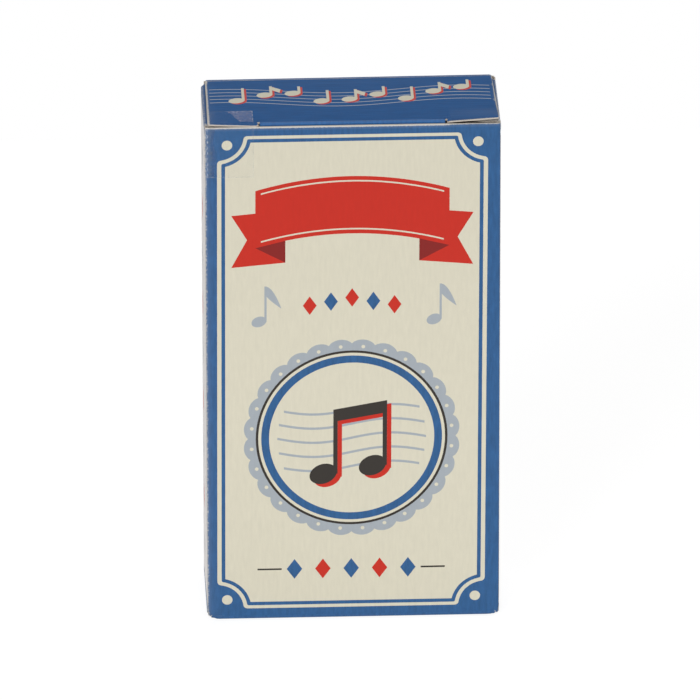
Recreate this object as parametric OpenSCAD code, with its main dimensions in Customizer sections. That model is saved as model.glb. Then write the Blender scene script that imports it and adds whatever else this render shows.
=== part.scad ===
// Boxed jaw harp: a printed folding carton with a tuck flap at each end,
// closed over a forged jaw harp that stands inside it.
// X runs to the right of the front panel, Y to the back, Z up.
// The origin is the middle of the carton's base.

/* [Carton] */
// Width of the carton over its side panels
carton_w = 64; // [60:1:72]
// Depth of the carton, front face to back face
carton_d = 25; // [24.5:0.5:30]
// Height of the carton
carton_h = 118; // [116:1:130]
// Thickness of the carton board
board_t = 0.5; // [0.4:0.05:0.55]
// Outer radius of the upright creases
crease_r = 0.9; // [0.8:0.1:1.4]
// Width of the flap that glues the tube shut
glue_flap_w = 10; // [7:0.5:12]
// Slope cut from each end of the glue flap
glue_flap_cut = 4; // [2:0.5:6]
// How far the left panel stops short of the back face, at the glued seam
seam_step = 0.7; // [0.5:0.1:1]

/* [End closures] */
// How far the end panels stop short of each side face
end_inset = 0.9; // [0.7:0.1:1.4]
// Length of the tuck flaps
tuck_len = 10; // [8:0.5:10.5]
// Radius of the tuck flaps' free corners
tuck_corner_r = 5; // [3:0.5:6]
// Lean of a closed tuck flap, in degrees off the panel that it hides behind
tuck_lean = 8; // [7:0.5:9]
// Distance of the lock slits from each side face
slit_inset = 11.8; // [9:0.2:14]
// Height of the small cut that ends a lock slit
slit_hook = 0.9; // [0.6:0.1:1.2]
// Width of the small cut that ends a lock slit
slit_hook_w = 0.5; // [0.4:0.1:0.8]
// How far the shoulders outside the slits reach over the open edge
shoulder_reach = 0.6; // [0.3:0.1:0.7]
// Length of the dust flaps
dust_len = 18; // [15:0.5:19]
// Straight run at the root of a dust flap's front edge
dust_root = 3; // [2:0.5:5]
// Radius of the dust flaps' free corners
dust_corner_r = 2.5; // [1.5:0.5:4]
// Taper of a dust flap's edge beside the end panel's crease, in degrees
dust_hinge_taper = 25; // [25:1:28]
// Taper of a dust flap's other edge, in degrees
dust_front_taper = 14; // [8:1:18]

/* [Seal tape] */
// Length of the piece of tape, along the front edge
tape_len = 10.6; // [8:0.2:10.8]
// Part of the tape's width that lies on the front panel
tape_front_w = 11.6; // [9:0.2:13]
// Part of the tape's width that lies on the lid
tape_lid_w = 7.2; // [5:0.2:8]
// Thickness of the tape
tape_t = 0.06; // [0.05:0.01:0.1]
// Pitch of the teeth on the tape's torn end
tape_tooth = 1.16; // [0.8:0.02:1.6]

/* [Harp frame] */
// Length of the harp's frame, bow to arm ends
frame_len = 92; // [84:1:93]
// Width of the bow over its bar
bow_w = 42; // [38:1:46]
// Width of the bar at the foot of the bow
bow_bar_w = 5.6; // [5:0.1:6.2]
// Depth of the bar at the foot of the bow
bow_bar_d = 5; // [4.4:0.1:5.2]
// Width of the arms
arm_w = 3.9; // [3.4:0.1:4.4]
// Depth of the arms
arm_d = 4.2; // [3.6:0.1:4.6]
// Width of the bevels along the bar's four corners
bar_bevel = 1.25; // [0.8:0.05:1.4]
// Radius of the shoulders where the bow turns into the arms
shoulder_r = 14; // [11:0.5:17]
// Gap between the reed and each arm
reed_gap = 0.35; // [0.3:0.05:0.6]
// Width of each lip that is hammered over the reed's root, along the bow's bar
lip_reach = 1.1; // [0.8:0.05:1.4]
// Height of the lips, across the bow's bar
lip_h = 2.8; // [2:0.1:3.6]

/* [Reed] */
// Thickness of the reed
reed_t = 0.6; // [0.4:0.05:0.8]
// Width of the reed at its root in the bow
reed_root_w = 3.8; // [3.2:0.1:4.2]
// Width of the reed at its tip
reed_tip_w = 2.6; // [2.2:0.1:3]
// Width of the upset foot of the reed, under the bow
foot_w = 5.3; // [4.6:0.1:6]
// Height of the reed's first bending station above the bow's foot
heel_at = 7; // [6.5:0.5:9]
// Length of the reed's heel
heel_len = 20; // [16:1:24]
// Length of the reed's blade
blade_len = 25; // [20:1:30]
// How far the reed stands beyond the arm ends
reed_over = 2.8; // [2.4:0.1:3.4]
// Reach of the trigger in front of the reed
trigger_reach = 11; // [9:0.5:11.5]
// Radius of the bend into the trigger, to the middle of the strip
trigger_bend_r = 1.8; // [1.4:0.1:2.2]
// Radius of the hook on the trigger's end, to the middle of the strip
hook_r = 1.3; // [1:0.1:1.6]
// Turn of the hook on the trigger's end, in degrees
hook_turn = 110; // [90:5:150]

/* [Hidden] */
$fn = 48;

// Clearances and the overrun of cuts
crease_gap = 0.06;
// Board left standing along the outer edge of a beveled panel
crease_lip = 0.02;
board_gap = 0.1;
tuck_gap = 0.3;
dust_side_gap = 0.4;
dust_crease_gap = 0.3;
seat_gap = 0.3;
notch_gap = 0.04;
reed_cut = 0.06;
overrun = 1;

// Colours
print_blue = [0.22, 0.37, 0.55];
panel_cream = [0.85, 0.82, 0.73];
bare_board = [0.78, 0.75, 0.69];
tape_clear = [0.75, 0.80, 0.85, 0.5];
iron = [0.56, 0.58, 0.60];
spring_steel = [0.68, 0.70, 0.72];

// Carton places
half_w = carton_w / 2;
half_d = carton_d / 2;
end_w = carton_w - 2 * end_inset;
// Outer face of a closed dust flap, counted from the carton's end.
// The open edges of the front and back panels lie at the same level.
dust_level = board_t + board_gap;
// Outer face of a tuck flap at its crease, counted from the face that it hides behind
tuck_level = board_t + tuck_gap;
// Inner face of a leaning tuck flap's free end, counted from the same face
tuck_tip_level = tuck_level + board_t * cos(tuck_lean) + tuck_len * sin(tuck_lean);
// Length of the crease between the lock slits
tuck_crease = carton_w - 2 * slit_inset;
// Bevel of a hinge edge that only opens, and of one that folds in further than square
opening_bevel = 45;
folding_bevel = 28;
// Drop of a tuck flap's edge outside the slits, clear of the shoulders in every fold
shoulder_drop = board_t / tan(folding_bevel) + board_gap;
// A dust flap's two edges, as places along Y
dust_front = tuck_level + board_t + dust_side_gap - half_d;
dust_back = half_d - crease_r - dust_crease_gap;
arc_steps = 8;
tooth_depth_share = 0.6;

// Harp places
bow_r = bow_w / 2;
// Radius to the middle of the bar
bow_mid_r = bow_r - bow_bar_w / 2;
reed_top = frame_len + reed_over;
reed_lean = atan((reed_root_w - reed_tip_w) / 2 / reed_top);
neck_u = arm_mid(frame_len / 2);
// Direction, from the bow's centre, of the point where the bow turns into the shoulder
neck_angle = acos((neck_u + shoulder_r * cos(reed_lean)) / (bow_mid_r + shoulder_r));
shoulder_w = bow_r + (bow_mid_r + shoulder_r) * sin(neck_angle);
blade_at = heel_at + heel_len;
tip_at = blade_at + blade_len;
arm_chamfer = bar_bevel / 3;

// The harp stands just off the base, close in front of the bottom tuck flap
harp_z = board_t + seat_gap + reed_t;
harp_y = half_d - tuck_tip_level - seat_gap - bow_bar_d / 2;

// Stations along the harp's bar, and the share of the curved run that the bow takes up
bow_steps = 36;
shoulder_steps = 14;
bar_sides = 8;
bow_run = bow_mid_r * (neck_angle + 90);
shoulder_run = shoulder_r * (neck_angle - reed_lean);
bow_share = bow_run / (bow_run + shoulder_run);

// Half width of the reed at height w above the bow's foot
function reed_half(w) = reed_root_w / 2 - w * tan(reed_lean);

// Middle of an arm at height w
function arm_mid(w) = reed_half(w) + reed_gap + arm_w / 2;

// Mixes two sizes, a at share 0 and b at share 1
function mix(a, b, share) = a + (b - a) * share;

// Points of an arc round c, from angle a0 to a1
function arc(c, r, a0, a1) =
    [for (i = [0 : arc_steps]) let (a = mix(a0, a1, i / arc_steps))
        c + r * [cos(a), sin(a)]];

// A station is [across, up, heading, share, end], with share 0 at the bow's foot
// and 1 along the arms
function bow_station(i) =
    let (share = i / bow_steps, a = mix(-90, neck_angle, share))
    [bow_mid_r * cos(a), bow_r + bow_mid_r * sin(a), a + 90, share * bow_share, false];

function shoulder_station(i) =
    let (share = i / shoulder_steps, a = mix(neck_angle, reed_lean, share),
         c = [(bow_mid_r + shoulder_r) * cos(neck_angle), shoulder_w])
    [c[0] - shoulder_r * cos(a), c[1] - shoulder_r * sin(a), a + 90,
     mix(bow_share, 1, share), false];

function arm_station(w, end) = [arm_mid(w), w, 90 + reed_lean, 1, end];

right_half = concat(
    [for (i = [0 : bow_steps]) bow_station(i)],
    [for (i = [1 : shoulder_steps]) shoulder_station(i)],
    [arm_station(frame_len - arm_chamfer, false), arm_station(frame_len, true)]);

// The same stations on the left, from the arm's end down to the bow's foot
left_half = [for (i = [len(right_half) - 1 : -1 : 1]) let (s = right_half[i])
    [-s[0], s[1], -s[2], s[3], s[4]]];

bar = concat(left_half, right_half);

// The eight corners of the bar's section at a station, across the bar and in depth
function section(s) =
    let (cut = s[4] ? arm_chamfer : 0,
         a = mix(bow_bar_w, arm_w, s[3]) / 2 - cut,
         d = mix(bow_bar_d, arm_d, s[3]) / 2 - cut,
         b = bar_bevel)
    [[a, b - d], [a, d - b], [a - b, d], [b - a, d],
     [-a, d - b], [-a, b - d], [b - a, -d], [a - b, -d]];

bar_points = [for (s = bar) for (c = section(s))
    [s[0] + c[0] * sin(s[2]), c[1], s[1] - c[0] * cos(s[2])]];

bar_faces = concat(
    [for (i = [0 : len(bar) - 2]) for (j = [0 : bar_sides - 1])
        let (k = (j + 1) % bar_sides, p = i * bar_sides, q = p + bar_sides)
        each [[p + j, q + k, p + k], [p + j, q + j, q + k]]],
    [[for (j = [0 : bar_sides - 1]) j]],
    [[for (j = [bar_sides - 1 : -1 : 0]) (len(bar) - 1) * bar_sides + j]]);

// A strip t thick that turns round the origin, from angle a0 through turn
module bent_strip(r_mid, t, a0, turn) {
    far = 2 * (r_mid + t);
    intersection() {
        difference() {
            circle(r = r_mid + t / 2);
            circle(r = r_mid - t / 2);
        }
        polygon([[0, 0], far * [cos(a0), sin(a0)],
                 far * [cos(a0 + turn / 2), sin(a0 + turn / 2)],
                 far * [cos(a0 + turn), sin(a0 + turn)]]);
    }
}

// Half of an upright crease, in plan, round the crease's centre
module half_crease(x, y, a0) {
    translate([x, y]) bent_strip(crease_r - board_t / 2, board_t, a0, 45);
}

// Everything on one side of a plane through the X axis, tilted up from +Y.
// It spans x0 to x1, above the plane when side is 1 and below it when side is -1.
module half_space(tilt, side, x0, x1) {
    rotate([tilt, 0, 0])
        translate([x0, -carton_h, side > 0 ? 0 : -carton_h])
            cube([x1 - x0, 2 * carton_h, carton_h]);
}

// Places for things hinged on the X axis that reach towards -Y with their face up
module at_back_top() translate([0, half_d, carton_h]) children();

module at_left_top()
    translate([-half_w, 0, carton_h - dust_level]) rotate([0, 0, 90]) children();

// Turns a top closure into the bottom one, which is hinged on the front panel
module to_bottom() translate([0, 0, carton_h]) rotate([180, 0, 0]) children();

// Bevel on the tube's side of a hinge
module tube_bevel(x0, x1)
    translate([0, -crease_lip, 0]) half_space(opening_bevel, 1, x0, x1);

// A flap drawn flat, hinged on the X axis, with its hinge edge beveled to the inside
module flap(bevel) {
    difference() {
        translate([0, 0, -board_t]) linear_extrude(board_t) children();
        translate([0, -crease_gap, 0]) half_space(bevel, -1, -half_w, half_w);
    }
}

// Front panel with its halves of both creases. Its top edge is bare.
module front_panel() color(print_blue) {
    x = half_w - crease_r;
    y = crease_r - half_d;
    difference() {
        linear_extrude(carton_h - dust_level) {
            translate([-x, -half_d]) square([2 * x, board_t]);
            half_crease(-x, y, -135);
            half_crease(x, y, -90);
        }
        to_bottom() at_back_top() tube_bevel(-carton_w, carton_w);
    }
}

// Back panel: its left crease lies inside the left panel and leads to the glue flap
module back_panel() color(print_blue) {
    x0 = board_t + crease_r - half_w;
    x1 = half_w - crease_r;
    y = half_d - crease_r;
    difference() {
        translate([0, 0, dust_level]) linear_extrude(carton_h - dust_level) {
            translate([x0, half_d - board_t]) square([x1 - x0, board_t]);
            half_crease(x0, y, 90);
            half_crease(x1, y, 45);
        }
        at_back_top() tube_bevel(-carton_w, carton_w);
    }
}

// Cuts the bevels for both dust flaps from a left side panel
module side_bevels() {
    difference() {
        children();
        at_left_top() tube_bevel(dust_front, dust_back);
        to_bottom() at_left_top() tube_bevel(dust_front, dust_back);
    }
}

// Left panel: its back edge is bare and laps over the glue flap
module left_panel() color(panel_cream) {
    y0 = crease_r - half_d;
    side_bevels() translate([0, 0, dust_level])
        linear_extrude(carton_h - 2 * dust_level) {
            translate([-half_w, y0]) square([board_t, half_d - seam_step - y0]);
            half_crease(crease_r - half_w, y0, 180);
        }
}

module right_panel() color(panel_cream) {
    x = crease_r - half_w;
    y = half_d - crease_r;
    mirror([1, 0, 0]) side_bevels() translate([0, 0, dust_level])
        linear_extrude(carton_h - 2 * dust_level) {
            translate([-half_w, -y]) square([board_t, 2 * y]);
            half_crease(x, -y, 180);
            half_crease(x, y, 135);
        }
}

// Flap behind the left panel that closes the tube
module glue_flap() color(bare_board) {
    y1 = half_d - crease_r;
    y0 = y1 - glue_flap_w;
    z0 = dust_level + board_t + board_gap;
    z1 = carton_h - z0;
    translate([board_t - half_w, 0, 0]) rotate([90, 0, 90]) linear_extrude(board_t)
        polygon([[y1, z0], [y1, z1], [y0, z1 - glue_flap_cut], [y0, z0 + glue_flap_cut]]);
    translate([0, 0, z0]) linear_extrude(z1 - z0)
        half_crease(board_t + crease_r - half_w, y1, 135);
}

// An end panel: hinge edge at the back, tuck crease at the front between two slits,
// and a shoulder outside each slit that covers the open edge
module end_panel() {
    crease_y = tuck_level - carton_d;
    at_back_top() difference() {
        flap(opening_bevel) difference() {
            translate([-end_w / 2, crease_y - shoulder_reach])
                square([end_w, shoulder_reach - crease_y]);
            translate([-tuck_crease / 2, crease_y - shoulder_reach - overrun])
                square([tuck_crease, shoulder_reach + overrun]);
            for (s = [-1, 1])
                translate([s * tuck_crease / 2 - slit_hook_w / 2, crease_y - overrun])
                    square([slit_hook_w, overrun + slit_hook]);
        }
        translate([0, crease_y + crease_gap, 0])
            half_space(-folding_bevel, -1, -tuck_crease / 2, tuck_crease / 2);
    }
}

// A tuck flap, folded in from the end panel's crease and leaning off the open panel.
// Outside the slits its edge drops clear of the end panel's shoulders.
module tuck_flap() {
    w = end_w / 2 - board_t;
    c = tuck_crease / 2 - slit_hook_w;
    r = tuck_corner_r;
    translate([0, tuck_level - half_d, carton_h]) rotate([90 + tuck_lean, 0, 0])
        flap(folding_bevel) polygon(concat(
            [[-c, 0], [-c, -shoulder_drop], [-w, -shoulder_drop]],
            arc([r - w, r - tuck_len], r, 180, 270),
            arc([w - r, r - tuck_len], r, 270, 360),
            [[w, -shoulder_drop], [c, -shoulder_drop], [c, 0]]));
}

// A dust flap on the left of the carton's top. Its edges taper, so that it can rise
// while the end panel above it is still lifting.
module dust_flap() {
    r = dust_corner_r;
    run = dust_len - r;
    back = [dust_back - run * tan(dust_hinge_taper) - r / cos(dust_hinge_taper), -run];
    front = [dust_front + (run - dust_root) * tan(dust_front_taper)
             + r / cos(dust_front_taper), -run];
    at_left_top() flap(opening_bevel) polygon(concat(
        [[dust_front, 0], [dust_front, -dust_root]],
        arc(front, r, 180 + dust_front_taper, 270),
        arc(back, r, 270, 360 - dust_hinge_taper),
        [[dust_back, 0]]));
}

module lid_panel() color(print_blue) end_panel();

module lid_tuck_flap() color(print_blue) tuck_flap();

module top_left_dust_flap() color(bare_board) dust_flap();

module top_right_dust_flap() color(bare_board) mirror([1, 0, 0]) dust_flap();

module bottom_panel() color(print_blue) to_bottom() end_panel();

module bottom_tuck_flap() color(print_blue) to_bottom() tuck_flap();

module bottom_left_dust_flap() color(bare_board) to_bottom() dust_flap();

module bottom_right_dust_flap() color(bare_board)
    to_bottom() mirror([1, 0, 0]) dust_flap();

// A piece of tape w wide, from y = 0 up, with its toothed end at x = 0
module tape_piece(w) {
    teeth = floor(w / tape_tooth);
    pitch = w / teeth;
    linear_extrude(tape_t) polygon(concat(
        [for (i = [0 : teeth - 1]) each [[0, i * pitch],
            [tape_tooth * tooth_depth_share, (i + 1 / 2) * pitch]]],
        [[0, w], [tape_len, w], [tape_len, 0]]));
}

module tape_on_front() color(tape_clear)
    translate([end_inset - half_w, -half_d, carton_h - dust_level - tape_front_w])
        rotate([90, 0, 0]) tape_piece(tape_front_w);

module tape_on_lid() color(tape_clear)
    translate([end_inset - half_w, tuck_level - shoulder_reach - half_d, carton_h])
        tape_piece(tape_lid_w);

// Puts a part of the harp in its place in the carton
module in_carton() translate([0, harp_y, harp_z]) children();

// The two lips that are hammered over the reed's root
module lips() {
    x = reed_root_w / 2;
    d = bow_bar_d / 2;
    translate([0, 0, (bow_bar_w - lip_h) / 2]) linear_extrude(lip_h)
        for (s = [-1, 1]) scale([s, 1])
            polygon([[x + notch_gap, -reed_t / 2], [x - lip_reach, -reed_t / 2],
                     [x - lip_reach, -d / 2], [x + notch_gap, bar_bevel / 2 - d]]);
}

module harp_frame() color(iron) in_carton() {
    notch = reed_root_w + 2 * notch_gap;
    difference() {
        polyhedron(bar_points, bar_faces);
        translate([-notch / 2, -bow_bar_d, -overrun])
            cube([notch, bow_bar_d + reed_t / 2, bow_bar_w + 2 * overrun]);
    }
    lips();
}

// The reed seen from the front, between two heights
module reed_face(w0, w1) {
    polygon([[-reed_half(w0), w0], [reed_half(w0), w0],
             [reed_half(w1), w1], [-reed_half(w1), w1]]);
}

// A straight length of the reed, short of its bending stations
module reed_strip(w0, w1) {
    translate([0, reed_t / 2, 0]) rotate([90, 0, 0]) linear_extrude(reed_t)
        reed_face(w0, w1);
}

// The part of the reed that the bow's notch holds, with its upset foot below
module reed_tang() color(spring_steel) in_carton() {
    reed_strip(0, heel_at - reed_cut / 2);
    translate([-foot_w / 2, -reed_t / 2, -reed_t]) cube([foot_w, reed_t, reed_t]);
}

module reed_heel() color(spring_steel) in_carton()
    reed_strip(heel_at + reed_cut / 2, blade_at - reed_cut / 2);

module reed_blade() color(spring_steel) in_carton()
    reed_strip(blade_at + reed_cut / 2, tip_at - reed_cut / 2);

// Side view of the reed's end: straight up, over to the front, and up in a small hook
module trigger_side(w0) {
    bend_w = reed_top - trigger_bend_r - reed_t / 2;
    flat = trigger_reach - trigger_bend_r - hook_r - reed_t / 2;
    translate([-reed_t / 2, w0]) square([reed_t, bend_w - w0]);
    translate([trigger_bend_r, bend_w]) bent_strip(trigger_bend_r, reed_t, 90, 90);
    translate([trigger_bend_r, reed_top - reed_t]) square([flat, reed_t]);
    translate([trigger_bend_r + flat, reed_top - reed_t / 2 + hook_r])
        bent_strip(hook_r, reed_t, -90, hook_turn);
}

module reed_trigger() color(spring_steel) in_carton() intersection() {
    w0 = tip_at + reed_cut / 2;
    w1 = reed_top + 2 * hook_r + reed_t;
    rotate([90, 0, -90])
        linear_extrude(reed_root_w, center = true) trigger_side(w0);
    translate([0, bow_w, 0]) rotate([90, 0, 0]) linear_extrude(2 * bow_w)
        reed_face(w0, w1);
}

front_panel();
back_panel();
left_panel();
right_panel();
glue_flap();
lid_panel();
lid_tuck_flap();
top_left_dust_flap();
top_right_dust_flap();
bottom_panel();
bottom_tuck_flap();
bottom_left_dust_flap();
bottom_right_dust_flap();
tape_on_front();
tape_on_lid();
harp_frame();
reed_tang();
reed_heel();
reed_blade();
reed_trigger();
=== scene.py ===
import math

import bpy
import numpy as np
from mathutils import Matrix, Vector
from mathutils.geometry import delaunay_2d_cdt


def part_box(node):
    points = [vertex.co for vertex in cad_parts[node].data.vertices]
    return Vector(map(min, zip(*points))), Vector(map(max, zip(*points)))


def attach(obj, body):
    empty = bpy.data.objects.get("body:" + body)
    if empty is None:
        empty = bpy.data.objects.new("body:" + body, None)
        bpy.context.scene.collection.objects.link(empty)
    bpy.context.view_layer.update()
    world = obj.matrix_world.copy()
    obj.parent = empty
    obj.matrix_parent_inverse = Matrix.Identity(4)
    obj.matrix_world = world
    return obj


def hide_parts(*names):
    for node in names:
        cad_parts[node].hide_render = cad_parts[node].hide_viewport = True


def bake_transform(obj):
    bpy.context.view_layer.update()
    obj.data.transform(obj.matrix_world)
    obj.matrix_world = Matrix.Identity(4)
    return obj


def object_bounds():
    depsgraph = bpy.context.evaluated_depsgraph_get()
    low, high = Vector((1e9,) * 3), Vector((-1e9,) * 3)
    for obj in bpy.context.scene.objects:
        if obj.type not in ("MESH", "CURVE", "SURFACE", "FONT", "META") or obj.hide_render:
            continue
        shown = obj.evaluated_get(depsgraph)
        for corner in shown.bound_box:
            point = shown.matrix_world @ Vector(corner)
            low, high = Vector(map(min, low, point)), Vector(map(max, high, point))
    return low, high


# A jaw harp in its closed, printed folding carton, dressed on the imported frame.
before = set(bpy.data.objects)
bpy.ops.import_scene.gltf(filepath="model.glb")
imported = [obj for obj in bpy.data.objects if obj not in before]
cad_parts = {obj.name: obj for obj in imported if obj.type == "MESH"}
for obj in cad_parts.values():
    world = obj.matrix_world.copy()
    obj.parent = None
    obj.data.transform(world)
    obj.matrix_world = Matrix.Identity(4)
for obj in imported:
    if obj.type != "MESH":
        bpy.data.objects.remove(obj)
cadLow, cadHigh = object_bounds()
mm = 0.001


# Camera, lamps and floor

camera = {"azimuth": -2.294, "elevation": 24.616, "roll": -0.066, "distance": 2.913,
          "target": (-0.00015, 0, 0.05865), "lens": 686.9, "sensor": 36, "clip": (0.1, 20)}
lamps = {  # place in metres, size in metres, power in watts
    "key": ((-1.2, -2.1, 1.2), 1.2, 37.5),
    "fill": ((1.3, -1.9, 0.35), 1.4, 17.4),
    "top": ((0.1, 0.25, 1.2), 0.8, 2.4),
    "back": ((0.9, 1.25, 0.14), 0.25, 9.0),
}
surround = {"ambient": 0.24, "background": 1.0, "floorSize": 0.5, "floorDrop": 0.0002,
            "floorColor": (0.8, 0.8, 0.79), "shadowedColor": (0.22, 0.22, 0.22), "floorGlow": 0.88}


def addCamera():
    # Stands back from the target along the azimuth and elevation, looks at it and rolls a little.
    az, el = math.radians(camera["azimuth"]), math.radians(camera["elevation"])
    back = Vector((math.sin(az) * math.cos(el), -math.cos(az) * math.cos(el), math.sin(el)))
    data = bpy.data.cameras.new("camera")
    data.lens = camera["lens"]
    data.sensor_width = camera["sensor"]
    data.clip_start, data.clip_end = camera["clip"]
    made = bpy.data.objects.new("camera", data)
    bpy.context.collection.objects.link(made)
    turn = (-back).to_track_quat("-Z", "Y").to_matrix().to_4x4()
    roll = Matrix.Rotation(math.radians(camera["roll"]), 4, "Z")
    place = Matrix.Translation(Vector(camera["target"]) + back * camera["distance"])
    made.matrix_world = place @ turn @ roll
    bpy.context.scene.camera = made


def addLamp(name, place, size, power):
    # A round area lamp that faces the middle of the carton.
    data = bpy.data.lights.new(name, "AREA")
    data.shape = "DISK"
    data.size = size
    data.energy = power
    made = bpy.data.objects.new(name, data)
    bpy.context.collection.objects.link(made)
    aim = Vector((0, 0, carton["height"] * mm / 2)) - Vector(place)
    made.matrix_world = Matrix.Translation(place) @ aim.to_track_quat("-Z", "Y").to_matrix().to_4x4()


def seenDirectly(nodes, links):
    # 1 for camera, glossy and transmission rays, 0 for the rays that light the object.
    path = nodes.new("ShaderNodeLightPath")
    total = path.outputs["Is Camera Ray"]
    for ray in ("Is Glossy Ray", "Is Transmission Ray"):
        add = nodes.new("ShaderNodeMath")
        add.operation = "MAXIMUM"
        links.new(total, add.inputs[0])
        links.new(path.outputs[ray], add.inputs[1])
        total = add.outputs[0]
    return total


def pickSeen(nodes, links, unseen, seen, output):
    # The rays that light the object meet the first shader, and those that show it the second.
    pick = nodes.new("ShaderNodeMixShader")
    links.new(seenDirectly(nodes, links), pick.inputs[0])
    links.new(unseen.outputs[0], pick.inputs[1])
    links.new(seen.outputs[0], pick.inputs[2])
    links.new(pick.outputs[0], nodes[output].inputs["Surface"])


def addBackdrop():
    # A white ground behind the object, and an even soft light on it.
    world = bpy.data.worlds.new("studio")
    world.use_nodes = True
    nodes, links = world.node_tree.nodes, world.node_tree.links
    light, seen = nodes["Background"], nodes.new("ShaderNodeBackground")
    for background, strength in ((light, surround["ambient"]), (seen, surround["background"])):
        background.inputs["Color"].default_value = (1, 1, 1, 1)
        background.inputs["Strength"].default_value = strength
    pickSeen(nodes, links, light, seen, "World Output")
    bpy.context.scene.world = world


def addFloor():
    # A pale floor. As seen, it glows and is little lit, so that it fades into the white ground
    # and keeps a soft shadow.
    half = surround["floorSize"] / 2
    mesh = bpy.data.meshes.new("floor")
    mesh.from_pydata([(-half, -half, 0), (half, -half, 0), (half, half, 0), (-half, half, 0)],
                     [], [(0, 1, 2, 3)])
    floor = bpy.data.objects.new("floor", mesh)
    bpy.context.collection.objects.link(floor)
    floor.location.z = -surround["floorDrop"]
    material = bpy.data.materials.new("paleFloor")
    material.use_nodes = True
    nodes, links = material.node_tree.nodes, material.node_tree.links
    nodes.remove(nodes["Principled BSDF"])
    lit, shadowed = nodes.new("ShaderNodeBsdfDiffuse"), nodes.new("ShaderNodeBsdfDiffuse")
    lit.inputs["Color"].default_value = (*surround["floorColor"], 1)
    shadowed.inputs["Color"].default_value = (*surround["shadowedColor"], 1)
    glow, both = nodes.new("ShaderNodeEmission"), nodes.new("ShaderNodeAddShader")
    glow.inputs["Strength"].default_value = surround["floorGlow"]
    links.new(shadowed.outputs[0], both.inputs[0])
    links.new(glow.outputs[0], both.inputs[1])
    pickSeen(nodes, links, lit, both, "Material Output")
    mesh.materials.append(material)


# Sizes of the carton, in millimetres, taken from the frame

lidLow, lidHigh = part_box("lid_panel")
tuckLow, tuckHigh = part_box("lid_tuck_flap")
dustLow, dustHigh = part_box("top_left_dust_flap")
glueLow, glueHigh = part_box("glue_flap")
carton = {
    "halfWidth": cadHigh[0] / mm,
    "halfDepth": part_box("back_panel")[1].y / mm,
    "height": lidHigh.z / mm,
    "board": (lidHigh.z - lidLow.z) / mm,
    "endHalfWidth": lidHigh.x / mm,
    "bareLevel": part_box("front_panel")[1].z / mm,  # the front panel's bare top edge
    "creaseRadius": 0.9,
    "creaseSquareness": 4.5,  # of its section, from 2 for a round one
    "creaseSaving": 0.193,  # what half a crease's round takes from each wall beside it
    "tuckCreaseRadius": 0.7,
    "tuckLean": math.radians(8),
    "tuckGap": 0.3,  # from the front panel's board to the tuck flap's crease
    "slitAt": 20.2,
    "slitWidth": 0.42,
    "slitDepth": 0.8,
    "dustMore": 0.6,  # how far the dust flaps reach past their solids towards the lid's hinge
    "dustSag": 0.02,  # for each millimetre of the flap
    "seamStep": 0.7,
    "glueSaving": 0.29,  # share of the crease's radius that its round takes from the glue flap
    "frontBulge": 0.28,
    "backBulge": 0.3,
    "sideBulge": 0.2,
    "topCorner": (0.75, 1.5),  # crushed ball's radius, and the zone that it blends over
    "footCorner": (1.3, 2.4),
    "rightFootShare": 0.65,  # of that radius, at the right foot
    "backRise": 0.24,  # how much higher the top's back edge stands than its front one
    "rightRise": 0.1,  # more of that at the right end, and less at the left one
    "riseZone": 20,  # how far down the walls it starts
    "pastFold": 20,  # room for a flap past its fold
}
right = math.pi / 2
halfWidth, halfDepth, height = carton["halfWidth"], carton["halfDepth"], carton["height"]
board = carton["board"]
bareGap = height - carton["bareLevel"]
creaseRadius = carton["creaseRadius"]
creaseArc = creaseRadius * right
halfArc = creaseArc / 2
backEdge = halfDepth - creaseRadius

# Places on the lid's strip: the tuck flap's crease, where its round starts, and its length
tuckY = -halfDepth + board + carton["tuckGap"]
tuckStart = tuckY + (carton["tuckCreaseRadius"] * (1 + math.sin(carton["tuckLean"]))
                     / math.cos(carton["tuckLean"]))
tuckArc = carton["tuckCreaseRadius"] * (right + carton["tuckLean"])

# Places round the tube, from the middle of the front
leftRun = 2 * halfDepth - creaseRadius - carton["seamStep"]
glueRun = (glueHigh.y - glueLow.y) / mm - creaseRadius * carton["glueSaving"]
wallMid = carton["endHalfWidth"] + halfArc  # middle of a front crease
rightEnd = wallMid + creaseArc + 2 * backEdge
backEnd = rightEnd + creaseArc + 2 * carton["endHalfWidth"] - board
leftEnd = -carton["endHalfWidth"] - creaseArc - leftRun


# Paths and forms of the carton's walls

def smooth(x):
    # Rises from 0 to 1 with level ends: three times the square less twice the cube.
    x = np.clip(x, 0, 1)
    return x * x * (3 - 2 * x)


def ramp(x, start, run):
    # The same rise from the start, over the run.
    return smooth((x - start) / run)


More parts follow.
